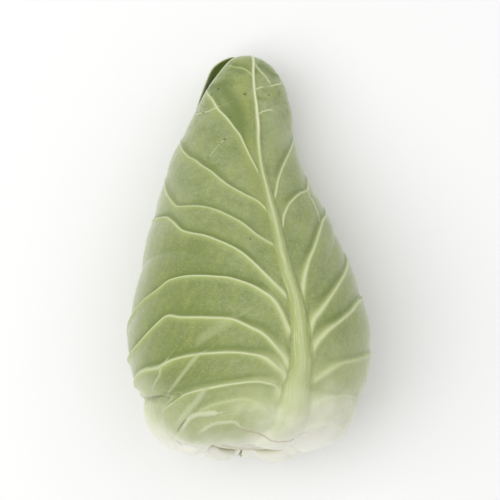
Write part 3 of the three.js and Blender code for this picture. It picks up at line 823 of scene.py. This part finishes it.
def leaf_piece(name, surface, material):
    """A closed leaf: outer grid, inner grid and a strip round the margin."""
    rows, columns = surface.s.shape
    shift = rows * columns
    outer = grid_faces(rows, columns)
    inner = outer[:, ::-1] + shift
    rim = rim_loop(rows, columns)
    after = np.roll(rim, -1)
    strip = np.stack([rim, rim + shift, after + shift, after], axis=1)
    points = np.concatenate([surface.outer.reshape(-1, 3), surface.inner.reshape(-1, 3)])
    attributes = {key: twice(getattr(surface, key) * surface.bare) for key in BARE_MARKS}
    attributes.update({key: twice(getattr(surface, key)) for key in ("panel", "rim", "beside")})
    attributes["along"] = twice(surface.s)
    attributes["turned"] = twice(surface.az)
    attributes["inside"] = np.repeat([0.0, 1.0], shift)
    for key, (away, shown) in surface.paths.items():
        attributes[key] = np.stack([twice(away), twice(shown), twice(0 * away)], axis=1)
    uv = np.stack([twice(surface.across), twice(surface.s)], axis=1) / MAP_UNIT
    faces = np.concatenate([outer, inner, strip]).tolist()
    return new_piece(name, points, faces, attributes, uv, material)


def ring_piece(name, ends, rings, attributes, uv, material):
    """A closed body from rings of points between two end points."""
    levels, count = rings.shape[:2]
    points = np.concatenate([ends[:1], rings.reshape(-1, 3), ends[1:]])
    j = np.arange(count)
    k = (j + 1) % count
    starts = 1 + count * np.arange(levels)
    quads = [np.stack([a + j, a + k, a + count + k, a + count + j], axis=1) for a in starts[:-1]]
    faces = np.concatenate(quads).tolist()
    faces += np.stack([0 * j, 1 + k, 1 + j], axis=1).tolist()
    faces += np.stack([starts[-1] + j, starts[-1] + k, 0 * j + len(points) - 1], axis=1).tolist()
    return new_piece(name, points, faces, attributes, uv, material)


# Finishes.
class Value:
    """A shader value: sums on it add the Math nodes that work them out."""

    def __init__(self, recipe, socket):
        self.recipe = recipe
        self.socket = socket

    def __add__(self, other):
        return self.recipe.maths("ADD", self, other)

    def __radd__(self, other):
        return self.recipe.maths("ADD", other, self)

    def __sub__(self, other):
        return self.recipe.maths("SUBTRACT", self, other)

    def __rsub__(self, other):
        return self.recipe.maths("SUBTRACT", other, self)

    def __mul__(self, other):
        return self.recipe.maths("MULTIPLY", self, other)

    def __rmul__(self, other):
        return self.recipe.maths("MULTIPLY", other, self)


class Recipe:
    """The nodes of one material."""

    def __init__(self, name):
        self.material = bpy.data.materials.new(name)
        self.material.use_nodes = True
        self.tree = self.material.node_tree

    def node(self, kind, settings=None, **inputs):
        """A node of that type; its settings are set before its sockets, which
        are named by their names or as i0, i1 and so on."""
        made = self.tree.nodes.new(kind)
        for key, value in (settings or {}).items():
            setattr(made, key, value)
        for key, value in inputs.items():
            place = int(key[1:]) if key[0] == "i" and key[1:].isdigit() else key.replace("_", " ")
            self.feed(made.inputs[place], value)
        return made

    def feed(self, socket, value):
        """Links a shader value to a socket, or sets a plain number or colour."""
        if isinstance(value, Value):
            value = value.socket
        if isinstance(value, bpy.types.NodeSocket):
            self.tree.links.new(value, socket)
        elif hasattr(value, "__len__") and len(value) == 3 and len(socket.default_value) == 4:
            socket.default_value = (*value, 1.0)
        else:
            socket.default_value = value

    def maths(self, operation, first, second=0.0):
        made = self.node("ShaderNodeMath", {"operation": operation}, i0=first, i1=second)
        return Value(self, made.outputs[0])

    def greater(self, first, second):
        return self.maths("MAXIMUM", first, second)

    def attribute(self, name):
        made = self.node("ShaderNodeAttribute", {"attribute_name": name})
        return Value(self, made.outputs["Fac"])

    def ramp(self, value, low, high):
        """0 at low, 1 at high, eased between."""
        eased = {"interpolation_type": "SMOOTHSTEP"}
        made = self.node("ShaderNodeMapRange", eased, Value=value, From_Min=low, From_Max=high)
        return Value(self, made.outputs["Result"])

    def mix(self, share, first, second):
        """A colour between two colours."""
        settings = {"data_type": "RGBA", "clamp_factor": True}
        made = self.node("ShaderNodeMix", settings, i0=share, i6=first, i7=second)
        return made.outputs[2]

    def coated(self, colour, coats):
        """A colour under coats, each a share and the colour that it brings in."""
        for share, over in coats:
            colour = self.mix(share, colour, over)
        return colour

    def body(self):
        """A place on the object itself."""
        return self.node("ShaderNodeTexCoord").outputs["Object"]

    def mapped(self, where, settings=None, **inputs):
        """A place moved, turned or scaled."""
        return self.node("ShaderNodeMapping", settings, Vector=where, **inputs).outputs[0]

    def noise(self, where, scale, detail, rough):
        grain = {"Scale": scale, "Detail": detail, "Roughness": rough}
        return Value(self, self.node("ShaderNodeTexNoise", Vector=where, **grain).outputs["Fac"])

    def cells(self, where, scale, feature):
        made = self.node("ShaderNodeTexVoronoi", {"feature": feature}, Vector=where, Scale=scale)
        return Value(self, made.outputs["Distance"])

    def net(self, where, scale, wide):
        """Lines between cells, 1 in their middle and 0 from wide on."""
        return 1 - self.ramp(self.cells(where, scale, "DISTANCE_TO_EDGE"), 0.0, wide)

    def bump(self, height, distance, strength, **under):
        made = self.node("ShaderNodeBump", Strength=strength, Distance=distance, Height=height, **under)
        return made.outputs["Normal"]

    def paint(self, **inputs):
        """The material, with these sockets of its shader set."""
        for key, value in inputs.items():
            self.feed(self.tree.nodes["Principled BSDF"].inputs[key.replace("_", " ")], value)
        return self.material


def leaf_patterns(recipe, place, seed):
    """Noise over a leaf's map, moved by the seed so that no two leaves match,
    and the flecks and grain of its wax: a name for each pattern."""
    shifted = recipe.mapped(place, Location=(seed, 0.3 * seed, 0))
    stir = recipe.node("ShaderNodeTexNoise", Vector=shifted, Scale=14.0, Detail=3.0).outputs["Color"]
    sway = {"operation": "MULTIPLY_ADD"}
    bent = recipe.node("ShaderNodeVectorMath", sway, i0=stir, i1=(0.06, 0.06, 0.0), i2=shifted).outputs[0]
    turn = {"vector_type": "TEXTURE"}
    slanted = recipe.mapped(shifted, turn, Rotation=(0, 0, SLANT), Scale=(3, 1, 1))
    drawn = recipe.mapped(bent, turn, Rotation=(0, 0, SLANT), Scale=(2.2, 1, 1))
    wander = recipe.noise(shifted, 9, 2, 0.5)
    patches = recipe.noise(shifted, 4, 5, 0.6)
    return SimpleNamespace(
        wander=wander,
        patches=patches,
        streaks=recipe.noise(slanted, 22, 3, 0.55),
        mottle=recipe.noise(shifted, 42, 3, 0.6),
        blotches=recipe.noise(shifted, 16, 4, 0.65),
        stria=recipe.noise(recipe.mapped(shifted, Scale=(1, 0.05, 1)), 150, 2, 0.5),
        flecks=recipe.noise(recipe.body(), 420, 3, 0.6),
        grain=recipe.noise(recipe.body(), 1100, 2, 0.6),
        coarse_net=recipe.net(drawn, 15.0, 0.05) * recipe.ramp(wander, 0.4, 0.6),
        fine_net=recipe.net(bent, 48.0, 0.12) * recipe.ramp(patches, 0.35, 0.6),
        grooves=recipe.net(slanted, 26.0, 0.05) * recipe.ramp(wander, 0.56, 0.42),
    )


def own_marks(recipe, place, leaf, skin):
    """A leaf's own branches, cuts, browned cuts and specks, each from 0 to 1. A
    branch or cut comes as an attribute: its x is the signed distance to the
    path in millimetres, and its y the strength."""
    found = dict.fromkeys(("branch", "cut", "browned", "speck"), 0.0)
    for kind in ("branches", "cuts"):
        for number, item in enumerate(leaf.get(kind, ())):
            field = recipe.node("ShaderNodeAttribute", {"attribute_name": f"{kind}_{number}"})
            parts = recipe.node("ShaderNodeSeparateXYZ", Vector=field.outputs["Vector"]).outputs
            away = recipe.maths("ABSOLUTE", parts["X"])
            shown = 1 - recipe.ramp(away, 0.3 * item["wide"], 1.5 * item["wide"])
            shown = shown * Value(recipe, parts["Y"])
            name = "branch"
            if kind == "branches":
                shown = item.get("pale", 0.3 + 0.6 * item["wide"]) * shown
            else:
                name = "browned" if item["brown"] else "cut"
            found[name] = recipe.greater(found[name], shown)
    for az, s, size in leaf.get("specks", ()):
        across = (az - through(leaf["mid"], s)) * skin.arc(s)
        spot = (float(across) / MAP_UNIT, s / MAP_UNIT, 0.0)
        away = recipe.node("ShaderNodeVectorMath", {"operation": "DISTANCE"}, i0=place, i1=spot)
        round_ = 1 - recipe.ramp(away.outputs["Value"], 0.003 * size, 0.01 * size)
        found["speck"] = recipe.greater(found["speck"], round_)
    return SimpleNamespace(**found)


def leaf_finish(name, colours, seed, blanched, leaf, skin):
    """A leaf: matt green under a pale waxy bloom, yellow-green rib lines whose pale
    crests are partly a painted highlight, painted shade in the creases and fold
    valleys and, over their own deeper green, in the lower panels, a painted
    highlight on fold ridges and rib banks, flanks painted paler as painted sheen,
    a faint net of fine veins, cream toward the stump, a thin rim painted pale as a
    highlight, and a darker, glossier inner face. blanched is how many millimetres
    further up than on the front leaf it is pale."""
    recipe = Recipe(name)
    ramp = recipe.ramp
    line, cord, stalk, bank, crease_shade, fold, panel, rim, beside, along, turned, inside = (
        recipe.attribute(key) for key in MARKS
    )
    place = recipe.node("ShaderNodeUVMap", {"uv_map": "leaf_map"}).outputs["UV"]
    seen = leaf_patterns(recipe, place, seed)
    own = own_marks(recipe, place, leaf, skin)

    upper = ramp(along, 90, 200)
    aside = recipe.maths("ABSOLUTE", turned - 10)
    # Paler sides: painted sheen, the wax's look at a low angle painted into the colour.
    flank_sheen = 0.3 * ramp(aside, 34, 80) + 0.2 * ramp(aside, 62, 92)
    flank_sheen = flank_sheen + 0.2 * ramp(aside, 54, 80) * (1 - ramp(along, 120, 175))
    flank_sheen = flank_sheen * (1 - 0.5 * ramp(aside, 95, 125))
    ragged = along + 22 * (seen.wander - 0.5) - 18 * ramp(turned, 0, 60) - blanched
    ragged = ragged + 11 * ramp(0 - turned, -6, 14) - 29 * ramp(0 - turned, 42, 85)
    crests = recipe.greater(line * (1 - 0.5 * stalk * (1 - upper)), own.branch)
    pale_line = recipe.mix(ramp(along, 30, 80), colours.cream, colours.line_pale)
    blade = recipe.mix(ramp(seen.patches, 0.32, 0.7), colours.deep, colours.blade)
    # Each coat is how much of it there is, and its colour, from the blade outward.
    green = recipe.coated(blade, [
        (0.3 * upper * ramp(seen.wander, 0.3, 0.7), colours.bloom),
        (flank_sheen, colours.flank_sheen),
        # The lower panels: their own deeper green with painted shade, darkest just above each rib.
        (0.85 * panel * (1 - flank_sheen), colours.panel),
        (0.6 * ramp(seen.streaks, 0.42, 0.8), colours.olive),
        (0.5 * ramp(seen.streaks, 0.52, 0.2), colours.deep),
        ((0.14 * seen.coarse_net + 0.1 * seen.fine_net) * upper, colours.line),
        # Fine diagonal grooves in the painted shade of the creases.
        ((0.18 + 0.2 * panel) * seen.grooves, colours.crease_shade),
        ((0.4 - 0.3 * panel) * ramp(seen.flecks, 0.42, 0.75), colours.bloom),
        ((0.2 - 0.1 * flank_sheen) * ramp(seen.mottle, 0.56, 0.34), colours.deep),
        (0.3 * ramp(seen.grain, 0.5, 0.68), colours.bloom),
        (0.34 * ramp(seen.grain, 0.5, 0.32), colours.deep),
        (0.8 * ramp(along, 205, 235) * ramp(seen.blotches, 0.5, 0.4), colours.deep),
        (0.5 * beside * upper, colours.olive),
        # Painted shade in fold valleys, then a painted highlight on fold ridges.
        (0.85 * recipe.greater(fold, 0.0), colours.crease_shade),
        (0.4 * recipe.greater(0 - fold, 0.0), colours.bloom),
        # The gentle bank below a rib: partly rib colour, partly a painted highlight where it faces the
        # light.
        (0.45 * bank, colours.line),
        # Painted shade in the crease above each rib.
        (0.75 * crease_shade, colours.crease_shade),
        ((0.6 - 0.25 * upper) * cord, colours.line),
        (0.34 * stalk * ramp(seen.stria, 0.56, 0.32), colours.olive),
        ((0.34 - 0.24 * upper) * stalk * ramp(seen.stria, 0.5, 0.68), colours.line_pale),
        # Pale crests: partly the veins' own colour, partly a painted highlight on their tops.
        ((0.65 + 0.15 * upper + 0.2 * ramp(along, 195, 220)) * crests, pale_line),
        (0.85 * (1 - ramp(ragged, 30, 86)), colours.pale_green),
        (1 - ramp(ragged, 16, 56), colours.cream),
        # The rim: a painted highlight along the leaf's thin edge.
        (0.85 * rim, colours.rim),
        (0.7 * own.browned, colours.woody),
        (0.5 * own.cut, colours.speck),
        (0.8 * own.speck, colours.speck),
    ])
    inner = recipe.mix(ramp(seen.patches, 0.3, 0.7), colours.inside, colours.inside_light)
    inner = recipe.mix(1 - ramp(along, 30, 90), inner, colours.pale_green)

    veins = 0.5 * seen.coarse_net + 0.3 * seen.fine_net + 1.2 * own.branch
    veins = veins - 1.5 * (own.cut + own.browned) + 0.5 * seen.streaks + 0.8 * seen.mottle
    under = recipe.bump(veins, 0.0004, 0.5)
    return recipe.paint(
        Base_Color=recipe.mix(inside, green, inner),
        Roughness=0.54 + 0.16 * seen.patches - 0.12 * inside + 0.06 * seen.flecks - 0.08 * line,
        Specular_IOR_Level=0.35,
        Sheen_Weight=1.0,
        Sheen_Roughness=0.35,
        Sheen_Tint=colours.sheen,
        Subsurface_Weight=0.1,
        Subsurface_Radius=(0.6, 1.0, 0.25),
        Subsurface_Scale=0.003,
        Normal=recipe.bump(seen.flecks + 0.8 * seen.grain, 0.00012, 0.5, Normal=under),
    )


def stump_finish(name, colours):
    """A cut stalk: cream pith, a ring of strands, a woody rim that has browned."""
    recipe = Recipe(name)
    ramp = recipe.ramp
    out = recipe.attribute("out")
    cloud = recipe.noise(recipe.body(), 160, 4, 0.6)
    strands = recipe.cells(recipe.body(), 900, "F1")
    pith = recipe.mix(ramp(cloud, 0.35, 0.7), colours.pith, colours.cream)
    ring = ramp(out + 0.12 * (cloud - 0.5), 0.55, 0.66) - ramp(out, 0.72, 0.82)
    cut = recipe.coated(pith, [
        (0.5 * ring, colours.pale_green),
        (0.7 * ramp(out + 0.2 * (cloud - 0.5), 0.84, 1.0), colours.woody),
        (0.2 * ramp(strands, 0.2, 0.5), colours.woody),
    ])
    return recipe.paint(
        Base_Color=cut,
        Roughness=0.62 + 0.2 * cloud,
        Specular_IOR_Level=0.3,
        Subsurface_Weight=0.1,
        Subsurface_Scale=0.004,
        Normal=recipe.bump(0.7 * cloud + 0.3 * strands, 0.0006, 0.6),
    )


def floor_finish(name, colour):
    """A plain pale matt surface."""
    recipe = Recipe(name)
    cloud = recipe.noise(recipe.body(), 6, 2, 0.5)
    return recipe.paint(Base_Color=recipe.mix(0.02 * cloud, colour, (0.7, 0.7, 0.7)), Roughness=0.9)


# Sizes and colours.
def length_choice(name, description, default):
    """A length property, its default given in metres."""
    return bpy.props.FloatProperty(name=name, description=description, default=default, unit="LENGTH")


def colour_choice(name, description, red, green, blue):
    """A colour property with its default given in 0 to 255."""
    return bpy.props.FloatVectorProperty(
        name=name, description=description, subtype="COLOR", size=3, min=0.0, max=1.0,
        default=srgb(red, green, blue),
    )


class CabbageSizes(bpy.types.PropertyGroup):
    """Sizes of the head and its leaves."""

    length: length_choice("Length", "Stump's middle to the tip, along the axis", 0.212)
    pitch: length_choice("Layer", "One leaf and the air under it", 0.0016)
    blade: length_choice("Blade", "Thickness of a leaf between its ribs", 0.0009)
    flesh: length_choice("Base flesh", "Extra thickness of a bare leaf base", 0.004)
    rib_scale: bpy.props.FloatProperty(
        name="Rib height", description="Height of the side ribs against the source's",
        default=1.0, min=0.0, max=1.5,
    )
    rib_gentle: length_choice("Gentle side", "Width of a side rib toward the stump", 0.0050)
    rib_steep: length_choice("Steep side", "Width of a side rib toward the tip", 0.0014)
    puff: length_choice("Panel swell", "How far a panel between two ribs swells", 0.0011)
    stair: length_choice("Panel step", "How far a panel climbs toward the next rib", 0.0007)
    blister: length_choice("Blisters", "Height of the soft unevenness of a blade", 0.00018)
    stump: length_choice("Stump", "Skin distance from the stump's middle to its rim", 0.020)
    stump_out: length_choice("Stump height", "How far the cut stands out of the heart", 0.0008)


class CabbageColours(bpy.types.PropertyGroup):
    """Colours of the leaves and the stump."""

    blade: colour_choice("Blade", "Green of a blade", 152, 162, 105)
    deep: colour_choice("Deep blade", "Darker patches of a blade", 128, 141, 84)
    # Panel: the lower blade's own deeper green, partly painted shade between the ribs.
    panel: colour_choice("Panel", "Blade between the lower ribs", 112, 126, 50)
    bloom: colour_choice("Bloom", "Pale wax on a blade", 171, 179, 142)
    # Flank: painted sheen, the sides painted paler as the wax looks at a low angle.
    flank_sheen: colour_choice("Flank", "Thicker wax on the sides", 212, 215, 194)
    olive: colour_choice("Olive", "Yellow-green streaks and the band beside the midrib", 154, 164, 84)
    line: colour_choice("Rib line", "Ribs and veins", 172, 184, 112)
    # Rib crest: partly the veins' own pale colour, partly a painted highlight.
    line_pale: colour_choice("Rib crest", "Pale crests of the midrib and the ribs", 222, 226, 184)
    # Painted shade for the creases above the ribs, the fold valleys and the fine grooves.
    crease_shade: colour_choice("Crease", "Deep green under a rib", 112, 128, 66)
    pale_green: colour_choice("Pale green", "Blade near the stump", 196, 203, 156)
    cream: colour_choice("Cream", "Leaf bases", 242, 241, 228)
    # Rim: a painted highlight along a leaf's thin edge.
    rim: colour_choice("Rim", "Thin edge of a leaf", 210, 215, 180)
    speck: colour_choice("Speck", "Small dark marks", 74, 86, 44)
    inside: colour_choice("Inner face", "Inner face of a leaf", 92, 112, 38)
    inside_light: colour_choice("Inner face, light", "Lighter inner face", 118, 136, 58)
    sheen: colour_choice("Sheen", "Tint of the wax seen at a low angle", 225, 228, 218)
    pith: colour_choice("Pith", "Middle of the stump", 240, 238, 222)
    woody: colour_choice("Woody", "Browned cuts and the stump's rim", 184, 162, 118)


class StageSettings(bpy.types.PropertyGroup):
    """Camera, light and floor."""

    height: length_choice("Camera distance", "Camera to the head's middle", 0.9)
    elevation: bpy.props.FloatProperty(
        name="Camera elevation", description="Angle over the floor, seen from the stump's side",
        default=float(np.radians(85)), subtype="ANGLE",
    )
    lens: bpy.props.FloatProperty(name="Lens", description="Focal length in mm", default=120.0)
    key: bpy.props.FloatProperty(name="Key light", description="Power in watts", default=6.0)
    fill: bpy.props.FloatProperty(name="Fill light", description="Power in watts", default=2.6)
    air: bpy.props.FloatProperty(name="Surroundings", description="Strength of the soft light", default=0.58)
    floor: colour_choice("Floor", "Colour of the floor", 247, 247, 247)


def skin_of(sizes):
    """The head's skin, three layers of leaves above the floor where it rests."""
    return Skin(sizes.length / MM, 3 * sizes.pitch / MM)


def rings_at(s, columns):
    """Grids of s and az for rings at those s, with that many points round."""
    return np.meshgrid(s, np.linspace(0, 360, columns, endpoint=False), indexing="ij")


class CABBAGE_OT_heart(bpy.types.Operator):
    """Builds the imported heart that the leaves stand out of"""

    bl_idname = "cabbage.heart"
    bl_label = "Heart"

    def execute(self, context):
        skin = skin_of(context.scene.cabbage_sizes)
        s, az = rings_at(np.linspace(HEART_END, skin.tip - HEART_END, HEART_ROWS), HEART_COLUMNS)
        rings = skin.outside(s, az, np.full(s.shape, -HEART_INSET))
        ends = skin.point(np.array([0.0, skin.tip]), np.zeros(2))
        along = np.concatenate([[0], s.ravel(), [skin.tip]])
        round_ = np.concatenate([[0], az.ravel() / 2, [0]])
        attributes = dict.fromkeys(MARKS, 0 * along)
        attributes["along"] = along
        uv = np.stack([round_, along], axis=1) / MAP_UNIT
        material = leaf_finish("heart", context.scene.cabbage_colours, 5.0, 20, {}, skin)
        piece = ring_piece("heart_leaf_mass", ends, rings, attributes, uv, material)
        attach(piece, "root")
        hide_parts("heart")
        return {"FINISHED"}


class CABBAGE_OT_stem(bpy.types.Operator):
    """Builds the cut stump"""

    bl_idname = "cabbage.stem"
    bl_label = "Stump"

    def execute(self, context):
        sizes = context.scene.cabbage_sizes
        skin = skin_of(sizes)
        edge = sizes.stump / MM
        out = sizes.stump_out / MM
        face = np.linspace(STUMP_FACE[0], edge - STUMP_FACE[1], STUMP_FACE_ROWS)
        inside, down = np.transpose(STUMP_ROUNDING)
        top = np.concatenate([face, edge - inside])
        dome = out + top**2 / (2 * BLUNT) - np.concatenate([0 * face, down])
        wall = np.linspace(out + edge**2 / (2 * BLUNT) - STUMP_WALL[0], STUMP_WALL[1], 4)[:3]
        s = np.concatenate([top, np.full(4, edge), STUMP_FOOT_RINGS])
        level = np.concatenate([dome, wall, np.full(4, STUMP_FOOT)])
        grid_s, grid_az = rings_at(s, STUMP_COLUMNS)
        rough = 0.14 * Grain(8)(grid_s / 3 + 9, grid_az / 12) - 0.15
        on_face = (np.arange(len(s)) < len(face)) & (s < edge - 2)
        dips = np.where(on_face[:, None], rough, 0)
        rings = skin.outside(grid_s, grid_az, level[:, None] + dips)
        ends = skin.outside(np.full(2, 0.5), np.zeros(2), np.array([out - 0.1, STUMP_FOOT]))
        radial = np.concatenate([[0], (grid_s / edge).ravel(), [0]])
        uv = np.stack([radial, radial], axis=1)
        material = stump_finish("stump", context.scene.cabbage_colours)
        piece = ring_piece("cut_stump", ends, rings, {"out": radial}, uv, material)
        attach(piece, "root")
        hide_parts("stem")
        return {"FINISHED"}


class CABBAGE_OT_leaves(bpy.types.Operator):
    """Builds the leaves, each with its ribs, panels and margin"""

    bl_idname = "cabbage.leaves"
    bl_label = "Leaves"

    def execute(self, context):
        sizes = context.scene.cabbage_sizes
        colours = context.scene.cabbage_colours
        skin = skin_of(sizes)
        for number, (node, plan) in enumerate(LEAF_PLANS.items()):
            blade, rib, step, blanched, slot, name = plan
            surface = LeafSurface(LEAVES[node], skin, sizes, blade, rib, step)
            material = leaf_finish(name, colours, 1.7 * number, blanched, LEAVES[node], skin)
            piece = leaf_piece(name, surface, material)
            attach(piece, "root")
            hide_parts(node)
        return {"FINISHED"}


class CABBAGE_OT_stage(bpy.types.Operator):
    """Lays the floor and sets the lights and the camera"""

    bl_idname = "cabbage.stage"
    bl_label = "Stage"

    def execute(self, context):
        stage = context.scene.cabbage_stage
        corners = [
            (x * FLOOR_HALF, y * FLOOR_HALF, FLOOR_LEVEL) for x, y in ((-1, -1), (1, -1), (1, 1), (-1, 1))
        ]
        mesh = bpy.data.meshes.new("floor")
        mesh.from_pydata(corners, [], [(0, 1, 2, 3)])
        mesh.materials.append(floor_finish("pale_floor", stage.floor))
        floor = bpy.data.objects.new("floor", mesh)
        context.scene.collection.objects.link(floor)

        self.softbox("key", KEY_PLACE, KEY_SIZE, stage.key)
        self.softbox("fill", FILL_PLACE, FILL_SIZE, stage.fill)
        world = bpy.data.worlds.new("studio")
        world.use_nodes = True
        air = world.node_tree.nodes["Background"]
        air.inputs["Color"].default_value = (1.0, 1.0, 1.0, 1.0)
        air.inputs["Strength"].default_value = stage.air
        context.scene.world = world
        context.scene.view_settings.view_transform = "Standard"

        camera = bpy.data.cameras.new("camera")
        camera.lens = stage.lens
        camera.sensor_width = SENSOR
        camera.clip_start = CLIP_START
        seen = bpy.data.objects.new("camera", camera)
        back = Vector((0.0, -np.cos(stage.elevation), np.sin(stage.elevation)))
        seen.location = Vector(AIM) + back * stage.height
        seen.rotation_euler = back.to_track_quat("Z", "Y").to_euler()
        context.scene.collection.objects.link(seen)
        context.scene.camera = seen
        return {"FINISHED"}

    def softbox(self, name, place, size, power):
        """A square area light that looks at the head's middle."""
        light = bpy.data.lights.new(name, "AREA")
        light.energy = power
        light.size = size
        lamp = bpy.data.objects.new(name, light)
        lamp.location = place
        toward = Vector(place) - Vector(HEAD_MIDDLE)
        lamp.rotation_euler = toward.to_track_quat("Z", "Y").to_euler()
        bpy.context.scene.collection.objects.link(lamp)


class CABBAGE_PT_panel(bpy.types.Panel):
    """Sizes, colours and the steps that build the cabbage"""

    bl_label = "Cabbage"
    bl_idname = "CABBAGE_PT_panel"
    bl_space_type = "VIEW_3D"
    bl_region_type = "UI"
    bl_category = "Cabbage"

    def draw(self, context):
        layout = self.layout
        for group in ("cabbage_sizes", "cabbage_colours", "cabbage_stage"):
            values = getattr(context.scene, group)
            box = layout.box()
            for key in values.__annotations__:
                box.prop(values, key)
        for step in STEPS:
            layout.operator(step.bl_idname)


STEPS = (CABBAGE_OT_heart, CABBAGE_OT_stem, CABBAGE_OT_leaves, CABBAGE_OT_stage)
GROUPS = {
    "cabbage_sizes": CabbageSizes,
    "cabbage_colours": CabbageColours,
    "cabbage_stage": StageSettings,
}


def register():
    for key, group in GROUPS.items():
        bpy.utils.register_class(group)
        setattr(bpy.types.Scene, key, bpy.props.PointerProperty(type=group))
    for step in STEPS:
        bpy.utils.register_class(step)
    bpy.utils.register_class(CABBAGE_PT_panel)


def unregister():
    bpy.utils.unregister_class(CABBAGE_PT_panel)
    for step in reversed(STEPS):
        bpy.utils.unregister_class(step)
    for key, group in GROUPS.items():
        delattr(bpy.types.Scene, key)
        bpy.utils.unregister_class(group)


def main():
    register()
    bpy.ops.cabbage.heart()
    bpy.ops.cabbage.stem()
    bpy.ops.cabbage.leaves()
    bpy.ops.cabbage.stage()


if __name__ == "__main__":
    main()
